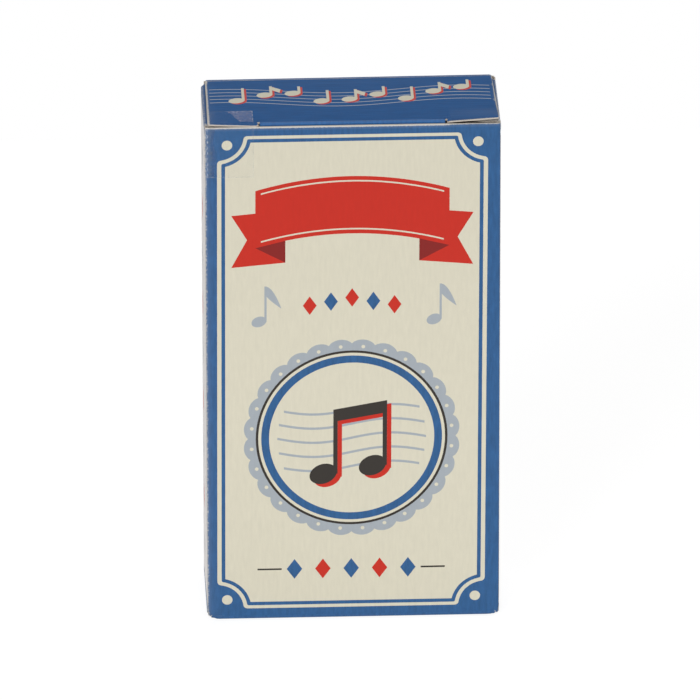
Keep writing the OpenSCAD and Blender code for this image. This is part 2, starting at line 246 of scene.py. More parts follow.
def followPath(q, start, heading, runs, side, power=2):
    # Place and outward direction at distance q along straight runs and round turns in a plane.
    # A run is (length, turn, bulge); a bulge swells outwards as the square of 1 - u squared, and
    # a turn is squared a little as a superellipse.
    point, place, outward = np.array(start, float), np.zeros((len(q), 2)), np.zeros((len(q), 2))
    swell, at = np.zeros(len(q)), 0.0
    for i, (length, turn, bulge) in enumerate(runs):
        d = q - at
        here = np.ones(len(q), bool) if i == 0 else d >= 0
        left = np.array([-math.sin(heading), math.cos(heading)])
        if turn:
            radius, way = length / abs(turn), math.copysign(1, turn)
            angle = heading + turn * d / length
            leftThere = np.stack([-np.sin(angle), np.cos(angle)], 1)
            share = np.clip(d / length, 0, 1) * right
            square = (np.cos(share) ** power + np.sin(share) ** power) ** (-1 / power)
            line = point + way * radius * (left - leftThere * square[:, None])
            end = heading + turn
            endPoint = point + way * radius * (left - np.array([-math.sin(end), math.cos(end)]))
        else:
            ahead = np.array([math.cos(heading), math.sin(heading)])
            leftThere = np.tile(left, (len(q), 1))
            line = point + d[:, None] * ahead
            end, endPoint = heading, point + length * ahead
        u = np.clip(2 * d / length - 1, -1, 1)
        place[here], outward[here] = line[here], -side * leftThere[here]
        swell[here] = (bulge * (1 - u * u) ** 2)[here]
        point, heading, at = endPoint, end, at + length
    return place, outward, swell


def crushCorners(points, corner=None):
    # Rounds the four corners that have a hinge: past the middle of a ball set in the corner,
    # a point goes to the ball, more and more as it nears the corner.
    p = points - np.array([0, 0, height / 2])
    isTop = p[:, 2] > 0 if corner is None else np.full(len(p), corner == "topCorner")
    half = np.array([halfWidth, halfDepth, height / 2])
    ball, zone = (np.where(isTop, carton["topCorner"][k], carton["footCorner"][k]) for k in (0, 1))
    ball = ball * np.where(~isTop & (p[:, 0] > 0), carton["rightFootShare"], 1)
    away = np.abs(p)
    closeness = (np.min(away - half, axis=1) + zone) / (zone / 2)
    share = smooth(closeness) * (p[:, 1] * p[:, 2] > 0)
    ballAt = half - ball[:, None]
    past = np.maximum(away - ballAt, 0)
    reach = np.linalg.norm(past, axis=1)
    scale = np.where(reach > ball, ball / np.maximum(reach, 1e-9), 1)
    target = np.minimum(away, ballAt) + past * scale[:, None]
    return points + (np.sign(p) * (target - away)) * share[:, None]


def raiseBack(points):
    # The carton's top slopes a little: it rises evenly towards the back, and more on the right.
    rise = carton["backRise"] + carton["rightRise"] * points[:, 0] / halfWidth
    back = np.clip((points[:, 1] / halfDepth + 1) / 2, 0, 1)
    share = back * ramp(points[:, 2], height - carton["riseZone"], carton["riseZone"])
    return points + (rise * share)[:, None] * (0, 0, 1)


def wallPlace(s, t):
    # The tube: s runs round it from the middle of the front, t is the height.
    edge, squareness = carton["endHalfWidth"], carton["creaseSquareness"]
    crease = (creaseArc, right, 0)
    ahead = followPath(s + edge, (-edge, -halfDepth), 0, [
        (2 * edge, 0, carton["frontBulge"]), crease, (2 * backEdge, 0, carton["sideBulge"]), crease,
        (2 * edge - board, 0, carton["backBulge"]), crease, (glueRun, 0, 0)], 1, squareness)
    behind = followPath(-edge - s, (-edge, -halfDepth), math.pi, [
        (creaseArc, -right, 0), (leftRun, 0, carton["sideBulge"])], -1, squareness)
    onLeft = s < -edge
    plan, outward, swell = [np.where(onLeft[:, None] if a.ndim > 1 else onLeft, a, b)
                            for a, b in zip(behind, ahead)]
    swell = swell * np.sin(math.pi * np.clip(t / height, 0, 1))
    plan = plan + swell[:, None] * outward
    return raiseBack(crushCorners(np.stack([plan[:, 0], plan[:, 1], t], 1)))


lid = {  # a ramp is where it starts and over how far it rises
    "crown": 0.18, "crownReach": 12, "hingeRun": 3,
    "leftLift": 0.42, "leftRamp": (4, 5),
    "rightLift": 0.95, "rightRamps": ((0, 1.2), (1, 8)), "rightShares": (0.6, 0.4),
    "sag": 0.2, "sagRamp": (0, 0.6), "frontRamp": (5, 7),
    "spread": 0.2, "spreadRamp": (24, 7),
    "rightSpread": 0.35, "rightSpreadRamp": (-2, 12),
}


def lidLift(x, y):
    # Height of the lid over its flat: a low crown, and a shoulder raised at each front corner.
    crown = lid["crown"] * (1 - (x / carton["endHalfWidth"]) ** 2) * (1 - (y / lid["crownReach"]) ** 2)
    out = np.abs(x) - carton["slitAt"]
    step, slope = (share * ramp(out, *r) for share, r in zip(lid["rightShares"], lid["rightRamps"]))
    rightShoulder = lid["rightLift"] * (step + slope)
    leftShoulder = lid["leftLift"] * ramp(out, *lid["leftRamp"])
    shoulder = np.where(x > 0, rightShoulder, leftShoulder) - lid["sag"] * ramp(out, *lid["sagRamp"])
    return np.maximum(crown, 0) + shoulder * ramp(-y, *lid["frontRamp"])


def lidSpread(s, y):
    # How far the lid's sides lie outside their flat place, more on the right towards the front.
    more = lid["rightSpread"] * ramp(-y, *lid["rightSpreadRamp"]) * (s > 0)
    return np.sign(s) * (lid["spread"] + more) * ramp(np.abs(s), *lid["spreadRamp"])


def lidPlace(s, t, corner="topCorner", flat=True):
    # The lid's strip: s across, t towards the back, over the back crease and the tuck crease.
    # The lid's own shoulders, past the slits, stay flat instead of turning down.
    plan, outward, swell = followPath(
        backEdge + creaseArc - t, (halfDepth, height - creaseRadius), right,
        [(creaseArc, right, 0), (backEdge - tuckStart, 0, 0), (tuckArc, right + carton["tuckLean"], 0),
         (carton["pastFold"], 0, 0)], 1, carton["creaseSquareness"])
    shoulder = (np.abs(s) > carton["slitAt"]) & (t < tuckStart) & flat
    plan = np.where(shoulder[:, None], np.stack([t, t * 0 + height], 1), plan)
    points = np.stack([s, plan[:, 0], plan[:, 1]], 1)
    onLid = ramp(backEdge - t, 0, lid["hingeRun"]) * ((t > tuckStart - tuckArc) | shoulder)
    if corner == "topCorner":
        points[:, 2] += lidLift(s, plan[:, 0]) * onLid
        points[:, 0] += lidSpread(s, plan[:, 0]) * onLid
    return crushCorners(points, corner)


def dustPlace(s, t):
    # The left dust flap's strip: s along the hinge, t back from the flap to the side panel. The
    # flap sags evenly towards its end.
    plan, outward, swell = followPath(-t, (-halfWidth, carton["bareLevel"] - creaseRadius), right, [
        (creaseArc, -right, 0), (carton["pastFold"], 0, 0)], -1, carton["creaseSquareness"])
    sag = carton["dustSag"] * np.maximum(-t - creaseArc, 0)
    return np.stack([plan[:, 0], s, plan[:, 1] - sag], 1)


def raised(place):
    # A form on the sloping top.
    return lambda s, t: raiseBack(place(s, t))


def turnedOver(place):
    # The same form at the carton's other end, turned half round the X axis.
    return lambda s, t: place(s, t) * (1, -1, -1) + (0, 0, height)


def mirrored(place):
    # The same form on the carton's other side.
    return lambda s, t: place(s, t) * (-1, 1, 1)


# Outlines, in millimetres on the flat board

def arcPoints(x, y, radius, start, end, count=16):
    # Points on a circle round (x, y), evenly spaced between two angles in degrees.
    a = np.radians(np.linspace(start, end, count))
    return np.stack([x + radius * np.cos(a), y + radius * np.sin(a)], 1)


def disc(x, y, radius, count=40):
    return arcPoints(x, y, radius, 0, 360, count + 1)[:-1]


def oval(x, y, long, short, turn, count=32):
    # A circle stretched to its two radii, then turned by degrees and moved.
    p = disc(0, 0, 1, count) * (long, short)
    c, s = math.cos(math.radians(turn)), math.sin(math.radians(turn))
    return p @ np.array([[c, s], [-s, c]]) + (x, y)


def lozenge(x, y, wide, high):
    return np.array([(x - wide, y), (x, y - high), (x + wide, y), (x, y + high)], float)


def rectangle(x0, y0, x1, y1):
    return np.array([(x0, y0), (x1, y0), (x1, y1), (x0, y1)], float)


def bandBetween(x, low, high):
    # The outline between two heights along the same x.
    return np.concatenate([np.stack([x, low], 1), np.stack([x, high], 1)[::-1]])


def curved(start, corner, end):
    # A parabola from start to end that leaves and arrives along the lines through the corner.
    u = np.linspace(0, 1, 6)[:, None]
    return (1 - u) ** 2 * start + 2 * u * (1 - u) * corner + u * u * end


def scoopedFrame(inset, radius, joint):
    # The border's rectangle, inset by (s, t), with corners scooped by arcs round the outer corners.
    # Each arc meets the straight lines in a small curve as long as the joint.
    loop, turn = [], joint / radius
    for sx, sy in ((1, -1), (1, 1), (-1, 1), (-1, -1)):
        centre = np.array((sx * border["half"], border["high" if sy > 0 else "low"]))
        onArc = lambda a: centre - radius * np.stack([sx * np.cos(a), sy * np.sin(a)], -1)
        first = math.asin(inset[1] / radius)
        last = right - math.asin(inset[0] / radius)
        corner = np.concatenate([
            curved(onArc(first) - (sx * joint, 0), onArc(first), onArc(first + turn)),
            onArc(np.linspace(first + turn, last - turn, 16))[1:-1],
            curved(onArc(last - turn), onArc(last), onArc(last) - (0, sy * joint))])
        loop.append(corner[::-1] if sx * sy > 0 else corner)
    return np.concatenate(loop)


def waveBand(x0, x1, middle, thick, count=60):
    # A thin band along the curve middle(x).
    x = np.linspace(x0, x1, count)
    y = middle(x)
    return bandBetween(x, y - thick / 2, y + thick / 2)


quaver = {  # in shares of its size; noteParts says what an edge's four numbers are
    "head": (0.30, 0.215), "turn": 22, "stemAt": 0.25, "stemSides": (-0.04, 0.045), "high": 1.5,
    "flagReach": 0.62, "flagEdges": ((0.8, 0, 0.95, 1.5), (1.15, 0.36, 0.59, 0.9)),
}
beamed = {  # in shares of its size; the beam's levels count from the stems' tops
    "head": (0.36, 0.27), "turn": 24, "gap": 1.25, "rise": 0.22, "stemAt": 0.31, "stemHalf": 0.055,
    "high": 1.75, "beamLeft": (-0.3, 0.04), "beamRight": (-0.28, 0.06),
}


def noteParts(x, y, size):
    # A single quaver: head, stem, and a flag between two edges. An edge goes out as u to the
    # power across, and starts a drop below the top and falls from there as u to the power down.
    wide, high = (share * size for share in quaver["head"])
    stemX, top = x + quaver["stemAt"] * size, y + quaver["high"] * size
    stemLow, stemHigh = (stemX + share * size for share in quaver["stemSides"])
    u = np.linspace(0, 1, 12)
    outer, inner = (np.stack([stemX + quaver["flagReach"] * size * u ** across,
                              top - drop * size - fall * size * u ** down], 1)
                    for across, drop, fall, down in quaver["flagEdges"])
    return [oval(x, y, wide, high, quaver["turn"]), rectangle(stemLow, y, stemHigh, top),
            np.concatenate([outer, inner[::-1][1:]])]


def beamedPair(x, y, size):
    # Two beamed quavers: heads, stems, and a slanting beam over both stems' full width.
    wide, high = (share * size for share in beamed["head"])
    gap, rise, tall = beamed["gap"] * size, beamed["rise"] * size, beamed["high"] * size
    half = beamed["stemHalf"] * size
    parts = []
    for k in (0, 1):
        hx, hy = x + k * gap, y + k * rise
        stemX = hx + beamed["stemAt"] * size
        parts.append(oval(hx, hy, wide, high, beamed["turn"]))
        parts.append(rectangle(stemX - half, hy, stemX + half, hy + tall))
    left = x + (beamed["stemAt"] - beamed["stemHalf"]) * size
    far = left + gap + 2 * half
    under, over = (y + tall + share * size for share in beamed["beamLeft"])
    farUnder, farOver = (y + tall + rise + share * size for share in beamed["beamRight"])
    parts.append(np.array([(left, under), (far, farUnder), (far, farOver), (left, over)]))
    return parts


def moved(parts, dx, dy):
    return [p + (dx, dy) for p in parts]


# Printed areas, from the bottom layer to the top one, as (ink, outline)

border = {  # a layer has an ink, how far the next one lies inside it, and its share of the joint
    "half": 29.27, "low": 2.6, "high": 115.5, "scoop": 5.75, "joint": 0.95,
    "layers": (("cream", (0.93, 0.74), 1), ("blue", (0.81, 0.81), 0.4), ("cream", (0, 0), 0.1)),
    "dotIn": 2.15, "dotRadius": 1.15,
}
banner = {
    "low": 89.0, "high": 102.5, "half": 21.0, "arch": 3.2, "lineInset": (1.2, 1.1), "lineThick": 0.36,
    "tailOut": 26.2, "tailIn": 6.5, "tailDrop": 4.6, "fork": (3.4, 0.2), "tailSlants": (1.1, 1.2, 0.1),
}
medal = {
    "y": 43.5, "scallops": 28, "scallopIn": 22.6, "scallopOut": 23.6, "bow": 0.7,
    "beadsAt": 21.9, "beadRadius": 0.42,
    "rings": (("dark", 20.9), ("cream", 20.35), ("blue", 19.7), ("cream", 18.0)),
    "fieldInset": 1.2, "lineGap": 3.4, "lineInset": 0.6, "lineThick": 0.55, "wave": (1.1, 5.2),
    "notesAt": (-6.2, -8.6), "noteSize": 8.6, "shadow": (0.95, -0.75), "backScale": 0.62,
}
frontMarks = {  # a row's step, level, fall at each step, and a lozenge's half width and height
    "skew": 0.5, "quaversAt": (19.0, 71.5), "quaverShift": -1.2, "quaverSize": 5.6,
    "upperRow": (4.6, 77.0, 0.9, 1.5, 2.2), "lowerRow": (6.2, 12.0, 0, 1.7, 2.4),
    "rule": (15.2, 11.8, 20.5, 12.2),
}
sideMarks = {"past": 1.5, "count": 9, "step": 11.5, "lozenge": (2.2, 3.4)}
stave = {
    "level": 1.7, "wave": 1.6, "waveLength": 52, "waveShift": 2, "reach": 30.2, "gap": 1.75, "thick": 0.26,
    "steps": (-1.5, 0.5, 1.5, -0.5, 0.0, 1.0, -1.0, 0.5, 1.5), "first": -24.6, "stride": 6.1,
    "head": (1.75, 1.35, 18), "stem": (1.15, 1.75), "high": 5.2,
    "flag": ((1.2, 5.2), (3.6, 3.4), (3.3, 1.6), (1.2, 3.4)), "shadow": (0.45, -0.5),
}


def borderPrint():
    # Nested frames, and a dot in each scooped corner.
    prints, inset = [], np.zeros(2)
    for ink, step, share in border["layers"]:
        loop = scoopedFrame(inset, border["scoop"] + inset.mean(), border["joint"] * share)
        prints.append((ink, loop))
        inset = inset + step
    for sx in (-1, 1):
        for y in (border["low"] + border["dotIn"], border["high"] - border["dotIn"]):
            x = sx * (border["half"] - border["dotIn"])
            prints.append(("cream", disc(x, y, border["dotRadius"])))
    return prints


def bannerPrint():
    # A blank ribbon: its body arches as a parabola, and two forked tails pass behind it.
    b = banner
    arch = lambda x: b["arch"] * (1 - (x / b["half"]) ** 2)
    low, high, inner = b["low"] - b["tailDrop"], b["high"] - b["tailDrop"], b["half"] - b["tailIn"]
    (forkIn, forkDrop), (lowSlant, highSlant, innerSlant) = b["fork"], b["tailSlants"]
    tail = np.array([(inner, low + lowSlant), (b["tailOut"], low),
                     (b["tailOut"] - forkIn, (low + high) / 2 - forkDrop),
                     (b["tailOut"], high - highSlant), (inner, high - innerSlant)])
    fold = np.array([(b["half"], b["low"]), (inner, b["low"] + arch(inner)), (inner, low + lowSlant)])
    prints = []
    for side in (-1, 1):
        prints += [("red", tail * (side, 1)), ("darkRed", fold * (side, 1))]
    x = np.linspace(-b["half"], b["half"], 40)
    prints.append(("red", bandBetween(x, b["low"] + arch(x), b["high"] + arch(x))))
    insetX, insetY = b["lineInset"]
    for offset in (insetY, b["high"] - b["low"] - insetY):
        line = waveBand(insetX - b["half"], b["half"] - insetX,
                        lambda v: b["low"] + offset + arch(v), b["lineThick"])
        prints.append(("cream", line))
    return prints


def medalPrint(middle, scale=1.0):
    # A scalloped rosette with beads, rings, five wavy stave lines and a beamed pair of notes.
    m = medal
    a = np.linspace(0, 2 * math.pi, m["scallops"] * 10, endpoint=False)
    bow = np.abs(np.sin(a * m["scallops"] / 2)) ** m["bow"]
    r = scale * (m["scallopIn"] + (m["scallopOut"] - m["scallopIn"]) * bow)
    prints = [("greyBlue", np.stack([r * np.cos(a), middle + r * np.sin(a)], 1))]
    out = scale * m["beadsAt"]
    for k in range(m["scallops"]):
        turn = 2 * math.pi * (k + 0.5) / m["scallops"]
        x, y = out * math.cos(turn), middle + out * math.sin(turn)
        prints.append(("cream", disc(x, y, m["beadRadius"] * scale, 12)))
    for ink, radius in m["rings"]:
        prints.append((ink, disc(0, middle, radius * scale, 96)))
    field = m["rings"][-1][1] * scale - m["fieldInset"]
    swung, length = (scale * part for part in m["wave"])
    for k in range(-2, 3):
        level = middle + k * m["lineGap"] * scale
        reach = math.sqrt(field ** 2 - (level - middle) ** 2) - m["lineInset"]
        line = waveBand(-reach, reach, lambda x: level + swung * np.sin(x / length), m["lineThick"] * scale)
        prints.append(("greyBlue", line))
    x, y = (scale * part for part in m["notesAt"])
    notes = beamedPair(x, middle + y, m["noteSize"] * scale)
    prints += [("red", p) for p in moved(notes, *(scale * part for part in m["shadow"]))]
    return prints + [("dark", p) for p in notes]


def frontPrint():
    # The whole print leans: its foot lies a little further left than its top.
    f = frontMarks
    prints = borderPrint() + bannerPrint()
    x, y = f["quaversAt"]
    for side in (-1, 1):
        prints += [("greyBlue", p) for p in noteParts(side * x + f["quaverShift"], y, f["quaverSize"])]
    for k in range(-2, 3):
        for row, pair in ((f["upperRow"], ("red", "blue")), (f["lowerRow"], ("blue", "red"))):
            step, level, fall, wide, high = row
            prints.append((pair[k % 2], lozenge(k * step, level - abs(k) * fall, wide, high)))
    prints += [("dark", rectangle(*f["rule"]) * (side, 1)) for side in (-1, 1)]
    prints += medalPrint(medal["y"])
    return [(ink, loop - (1 - loop[:, 1:] / height) * (f["skew"], 0)) for ink, loop in prints]


def backPrint():
    # The same border on the back, with a small rosette, turned to read from behind.
    prints = borderPrint() + medalPrint(height / 2, medal["backScale"])
    return [(ink, loop + ((rightEnd + backEnd) / 2, 0)) for ink, loop in prints]


def lidPrint():
    # Five pale stave lines in a low wave, with notes set along them at half gaps and whole ones.
    middle = lambda x: stave["level"] - stave["wave"] * np.cos(
        2 * math.pi * (x + stave["waveShift"]) / stave["waveLength"])
    prints = []
    for k in range(-2, 3):
        line = waveBand(-stave["reach"], stave["reach"], lambda x: middle(x) + k * stave["gap"],
                        stave["thick"])
        prints.append(("paleLine", line))
    stemLow, stemHigh = stave["stem"]
    for k, step in enumerate(stave["steps"]):
        x = stave["first"] + k * stave["stride"]
        y = middle(x) + step * stave["gap"]
        parts = [oval(x, y, *stave["head"]),
                 rectangle(x + stemLow, y, x + stemHigh, y - step + stave["high"])]
        if k % 3 == 1:
            parts.append(np.array(stave["flag"]) + (x, y - step))
        prints += [("red", p) for p in moved(parts, *stave["shadow"])]
        prints += [("cream", p) for p in parts]
    return prints


def sidePrint(middle):
    # A cream side between two blue bands, with a column of lozenges.
    low, high = border["low"], height - border["low"]
    reach, count = halfDepth + sideMarks["past"], sideMarks["count"]
    prints = [("sideCream", rectangle(middle - reach, low, middle + reach, high))]
    for k in range(count):
        y = height / 2 + (k - count // 2) * sideMarks["step"]
        prints.append(("red" if k % 2 else "greyBlue", lozenge(middle, y, *sideMarks["lozenge"])))
    return prints


# Materials

inks = {  # linear colours
    # The lid's blue is the same ink as the front's, retuned for the way the top is lit: painted shade.
    # The tuck fold's blue is the blue ink made lighter: a painted highlight where the fold bends towards
    # the light.
    "blue": (0.0245, 0.101, 0.256), "lidShadedBlue": (0.017, 0.095, 0.278), "foldHighlightBlue": (0.021, 0.112, 0.312),
    "cream": (0.69, 0.653, 0.524), "sideCream": (0.86, 0.83, 0.815), "paleLine": (0.42, 0.45, 0.50),
    "red": (0.55, 0.022, 0.010), "darkRed": (0.22, 0.010, 0.008), "greyBlue": (0.368, 0.406, 0.445),
    "dark": (0.025, 0.020, 0.016),
}
finish = {
    "rubbedColor": (0.68, 0.65, 0.60), "rawColor": (0.57, 0.51, 0.45), "insideColor": (0.52, 0.49, 0.43),
    "sheen": 0.32, "lidSheen": 0.06, "gloss": 0.46, "grain": (1.6, 0.25, 1), "lidGrain": (0.12, 2.4, 1),
    "streaks": 0.14, "blueStreaks": 0.8, "blues": ("blue", "lidShadedBlue", "foldHighlightBlue"),
    "inkRelief": (0.12, 0.00005), "tapeRelief": (0.3, 0.0001),  # strength, and height in metres
}

# In these four, a noise is its scale, detail and roughness, a stretch is three scales, and a
# range is the values that it starts and ends at, with what they become where that isn't 0 and 1.
coat = {
    "streak": (1.0, 4, 0.6), "mottle": (0.55, 3, 0.5), "mottleShare": 0.25,
    "speck": (7.0, 2, 0.6), "speckShare": 0.5,
    "raggedStretch": (2.2, 2.2, 1), "ragged": (1.0, 5, 0.7), "raggedShare": 1.1,
    # The even paling by rub is partly wear whitening and partly a painted highlight on creases.
    "rubRange": (0.55, 0.95), "rubStart": (0.02, 0.3), "wearAndHighlight": 0.14,
    "mottleShine": 0.12, "rubShine": 0.25, "streakHeight": 0.6, "speckHeight": 0.4,
}
pulpBoard = {
    "pulp": (1.3, 5, 0.65), "fineStretch": (6, 3, 1), "fine": (1.0, 4, 0.7), "share": 0.3,
    "hairStretch": (5.5, 1.6, 1), "hair": (1.0, 6, 0.8), "hairRange": (0.66, 0.74),
    "hairColor": (0.22, 0.19, 0.15), "roughness": (0.2, 0.8, 0.75, 0.95), "fineHeight": 0.5,
}
film = {
    "cloud": (0.8, 4, 0.6), "haze": (0.3, 0.7, 0.2, 1.8), "edge": (0.3, 0.7, 0.3, 1.7),
    "edgeColor": (0.72, 0.76, 0.84), "roughness": (0.2, 0.8, 0.16, 0.34),
}
bar = {
    "scratch": (1.0, 5, 0.7), "dents": (0.45, 3, 0.5), "tarnish": (0.16, 4, 0.6),
    "scratchTone": (0.2, 0.8, 0.86, 1.06), "tarnishTone": (0.3, 0.7, -0.10, 0.04),
    "worn": (0.45, 0.7, 0.0, 0.8), "scratchRough": (0.3, 0.7, -0.05, 0.10),
    "tarnishRough": (0.5, 0.75, 0.0, 0.16), "dentHeight": 1.4, "scratchHeight": 0.25,
}


def newGroup(name, inputs, outputs=("Roughness", "Height")):
    # An empty node group that gives a colour and these values, with its two end nodes.
    group = bpy.data.node_groups.new(name, "ShaderNodeTree")
    kinds = {"color": "NodeSocketColor", "float": "NodeSocketFloat", "vector": "NodeSocketVector"}
    for socket, kind, value in inputs:
        made = group.interface.new_socket(name=socket, in_out="INPUT", socket_type=kinds[kind])
        made.default_value = value
    for socket in ("Color", *outputs):
        kind = "color" if socket == "Color" else "float"
        group.interface.new_socket(name=socket, in_out="OUTPUT", socket_type=kinds[kind])
    return group, group.nodes.new("NodeGroupInput"), group.nodes.new("NodeGroupOutput")


def mathNode(tree, kind, a, b, clamp=False):
    # One operation on two parts, each a number or another node's output.
    node = tree.nodes.new("ShaderNodeMath")
    node.operation = kind
    node.use_clamp = clamp
    for k, value in enumerate((a, b)):
        if isinstance(value, (int, float)):
            node.inputs[k].default_value = value
        else:
            tree.links.new(value, node.inputs[k])
    return node.outputs[0]


def sums(tree):
    # Adding and multiplying in this tree.
    add = lambda a, b: mathNode(tree, "ADD", a, b)
    return add, lambda a, b: mathNode(tree, "MULTIPLY", a, b)


def swing(tree, value, gain):
    # How far the value lies from a half, times the gain.
    return mathNode(tree, "MULTIPLY", mathNode(tree, "SUBTRACT", value, 0.5), gain)


def stretched(tree, vector, scale):
    # The vector times three scales, given as numbers or by another node.
    node = tree.nodes.new("ShaderNodeMapping")
    if isinstance(scale, tuple):
        node.inputs["Scale"].default_value = scale
    else:
        tree.links.new(scale, node.inputs["Scale"])
    tree.links.new(vector, node.inputs["Vector"])
    return node.outputs[0]


def noise(tree, vector, scale, detail, roughness):
    node = tree.nodes.new("ShaderNodeTexNoise")
    node.inputs["Scale"].default_value = scale
    node.inputs["Detail"].default_value = detail
    node.inputs["Roughness"].default_value = roughness
    tree.links.new(vector, node.inputs["Vector"])
    return node.outputs["Fac"]


def ranged(tree, value, low, high, outLow=0.0, outHigh=1.0):
    # A straight rise from outLow to outHigh as the value goes from low to high, level beyond.
    node = tree.nodes.new("ShaderNodeMapRange")
    node.inputs["From Min"].default_value = low
    node.inputs["From Max"].default_value = high
    node.inputs["To Min"].default_value = outLow
    node.inputs["To Max"].default_value = outHigh
    tree.links.new(value, node.inputs["Value"])
    return node.outputs[0]


def mixed(tree, kind, factor, a, b):
    # A mix of two colours, each given as numbers or by another node.
    node = tree.nodes.new("ShaderNodeMix")
    node.data_type = "RGBA"
    node.blend_type = kind
    for socket, value in ((node.inputs[0], factor), (node.inputs[6], a), (node.inputs[7], b)):
        if isinstance(value, (int, float)):
            socket.default_value = value
        elif isinstance(value, tuple):
            socket.default_value = (*value, 1)
        else:
            tree.links.new(value, socket)
    return node.outputs[2]


def greyOf(tree, value):
    node = tree.nodes.new("ShaderNodeCombineColor")
    for k in range(3):
        tree.links.new(value, node.inputs[k])
    return node.outputs[0]


def flatMap(tree):
    node = tree.nodes.new("ShaderNodeUVMap")
    node.uv_map = "flat"
    return node.outputs[0]


def rubOf(tree):
    node = tree.nodes.new("ShaderNodeAttribute")
    node.attribute_name = "rub"
    return node.outputs["Fac"]


def giveOut(tree, result, values):
    # Joins each value to the group's output of that name.
    for socket, value in values.items():
        tree.links.new(value, result.inputs[socket])


def makeCoatedBoard():
    # Ink on coated board, on the flat map in millimetres: streaks along the grain, mottle and fine
    # specks change the ink's value, and rubbed edges turn to the pale board under the ink. Wherever
    # there is rub, the ink also pales a little and evenly: wear whitening, and a painted highlight
    # on creases where the board rounds over.
    group, given, result = newGroup("coatedBoard", [
        ("Ink", "color", (0.5, 0.5, 0.5, 1)), ("Rubbed", "color", (0.6, 0.6, 0.6, 1)),
        ("Grain", "vector", (1, 1, 1)), ("Streaks", "float", 0.1), ("Gloss", "float", 0.42)])
    (add, times), flat, rub = sums(group), flatMap(group), rubOf(group)
    streak = noise(group, stretched(group, flat, given.outputs["Grain"]), *coat["streak"])
    mottle, speck = noise(group, flat, *coat["mottle"]), noise(group, flat, *coat["speck"])
    value = add(swing(group, streak, 1), swing(group, mottle, coat["mottleShare"]))
    value = add(value, swing(group, speck, coat["speckShare"]))
    value = add(times(value, given.outputs["Streaks"]), 1.0)
    inked = mixed(group, "MULTIPLY", 1.0, given.outputs["Ink"], greyOf(group, value))
    ragged = noise(group, stretched(group, flat, coat["raggedStretch"]), *coat["ragged"])
    mask = ranged(group, add(rub, swing(group, ragged, coat["raggedShare"])), *coat["rubRange"])
    mask = times(mask, ranged(group, rub, *coat["rubStart"]))
    # The even paling by rub: partly wear whitening, partly a painted highlight on creases.
    pale = mathNode(group, "MAXIMUM", mask, times(rub, coat["wearAndHighlight"]))
    shine = add(given.outputs["Gloss"], swing(group, mottle, coat["mottleShine"]))
    giveOut(group, result, {
        "Color": mixed(group, "MIX", pale, inked, given.outputs["Rubbed"]),
        "Roughness": add(shine, times(mask, coat["rubShine"])),
        "Height": add(times(streak, coat["streakHeight"]), times(speck, coat["speckHeight"]))})
    return group


def makeRawBoard():
    # Uncoated board: two sizes of noise for the pulp, and a thresholded one for dark fibres.
    group, given, result = newGroup("rawBoard", [
        ("Tone", "color", (0.5, 0.5, 0.5, 1)), ("Fibres", "float", 0.5)])
    p = pulpBoard
    (add, times), flat = sums(group), flatMap(group)
    pulp = noise(group, flat, *p["pulp"])
    fine = noise(group, stretched(group, flat, p["fineStretch"]), *p["fine"])
    value = add(add(swing(group, pulp, p["share"]), swing(group, fine, p["share"])), 1.0)
    toned = mixed(group, "MULTIPLY", 1.0, given.outputs["Tone"], greyOf(group, value))
    hair = noise(group, stretched(group, flat, p["hairStretch"]), *p["hair"])
    hair = times(ranged(group, hair, *p["hairRange"]), given.outputs["Fibres"])
    giveOut(group, result, {
        "Color": mixed(group, "MIX", hair, toned, p["hairColor"]),
        "Roughness": ranged(group, pulp, *p["roughness"]),
        "Height": add(pulp, times(fine, p["fineHeight"]))})
    return group


def makeClearTape():
    # Clear tape: the haze is an alpha that noise makes uneven, and cut or toothed edges are whiter.
    group, given, result = newGroup("clearTape", [
        ("Tint", "color", (0.7, 0.7, 0.8, 1)), ("Haze", "float", 0.1), ("Edge", "float", 0.1)],
        ("Roughness", "Height", "Alpha"))
    times, rub = sums(group)[1], rubOf(group)
    cloud = noise(group, flatMap(group), *film["cloud"])
    alpha = times(given.outputs["Haze"], ranged(group, cloud, *film["haze"]))
    edge = times(times(rub, ranged(group, cloud, *film["edge"])), given.outputs["Edge"])
    giveOut(group, result, {
        "Color": mixed(group, "MIX", rub, given.outputs["Tint"], film["edgeColor"]),
        "Roughness": ranged(group, cloud, *film["roughness"]), "Height": cloud,
        "Alpha": mathNode(group, "ADD", alpha, edge, clamp=True)})
    return group


def makeWorkedMetal():
    # Worked metal: soft dents, drawn or tumbled scratches, and thin plating worn on the corners.
    group, given, result = newGroup("workedMetal", [
        ("Metal", "color", (0.6, 0.6, 0.6, 1)), ("Worn", "color", (0.5, 0.47, 0.43, 1)),
        ("Scratch Along", "float", 1.0), ("Scratch Across", "float", 1.0), ("Rough", "float", 0.3)])
    (add, times), flat, rub = sums(group), flatMap(group), rubOf(group)
    size = group.nodes.new("ShaderNodeCombineXYZ")
    group.links.new(given.outputs["Scratch Across"], size.inputs[0])
    group.links.new(given.outputs["Scratch Along"], size.inputs[1])
    scaled = group.nodes.new("ShaderNodeVectorMath")
    scaled.operation = "MULTIPLY"
    group.links.new(flat, scaled.inputs[0])
    group.links.new(size.outputs[0], scaled.inputs[1])
    scratch = noise(group, scaled.outputs[0], *bar["scratch"])
    dents, tarnish = noise(group, flat, *bar["dents"]), noise(group, flat, *bar["tarnish"])
    value = add(ranged(group, scratch, *bar["scratchTone"]), ranged(group, tarnish, *bar["tarnishTone"]))
    toned = mixed(group, "MULTIPLY", 1.0, given.outputs["Metal"], greyOf(group, value))
    worn = times(rub, ranged(group, tarnish, *bar["worn"]))
    rough = add(given.outputs["Rough"], ranged(group, scratch, *bar["scratchRough"]))
    giveOut(group, result, {
        "Color": mixed(group, "MIX", worn, toned, given.outputs["Worn"]),
        "Roughness": add(rough, ranged(group, tarnish, *bar["tarnishRough"])),
        "Height": add(times(dents, bar["dentHeight"]), times(scratch, bar["scratchHeight"]))})
    return group


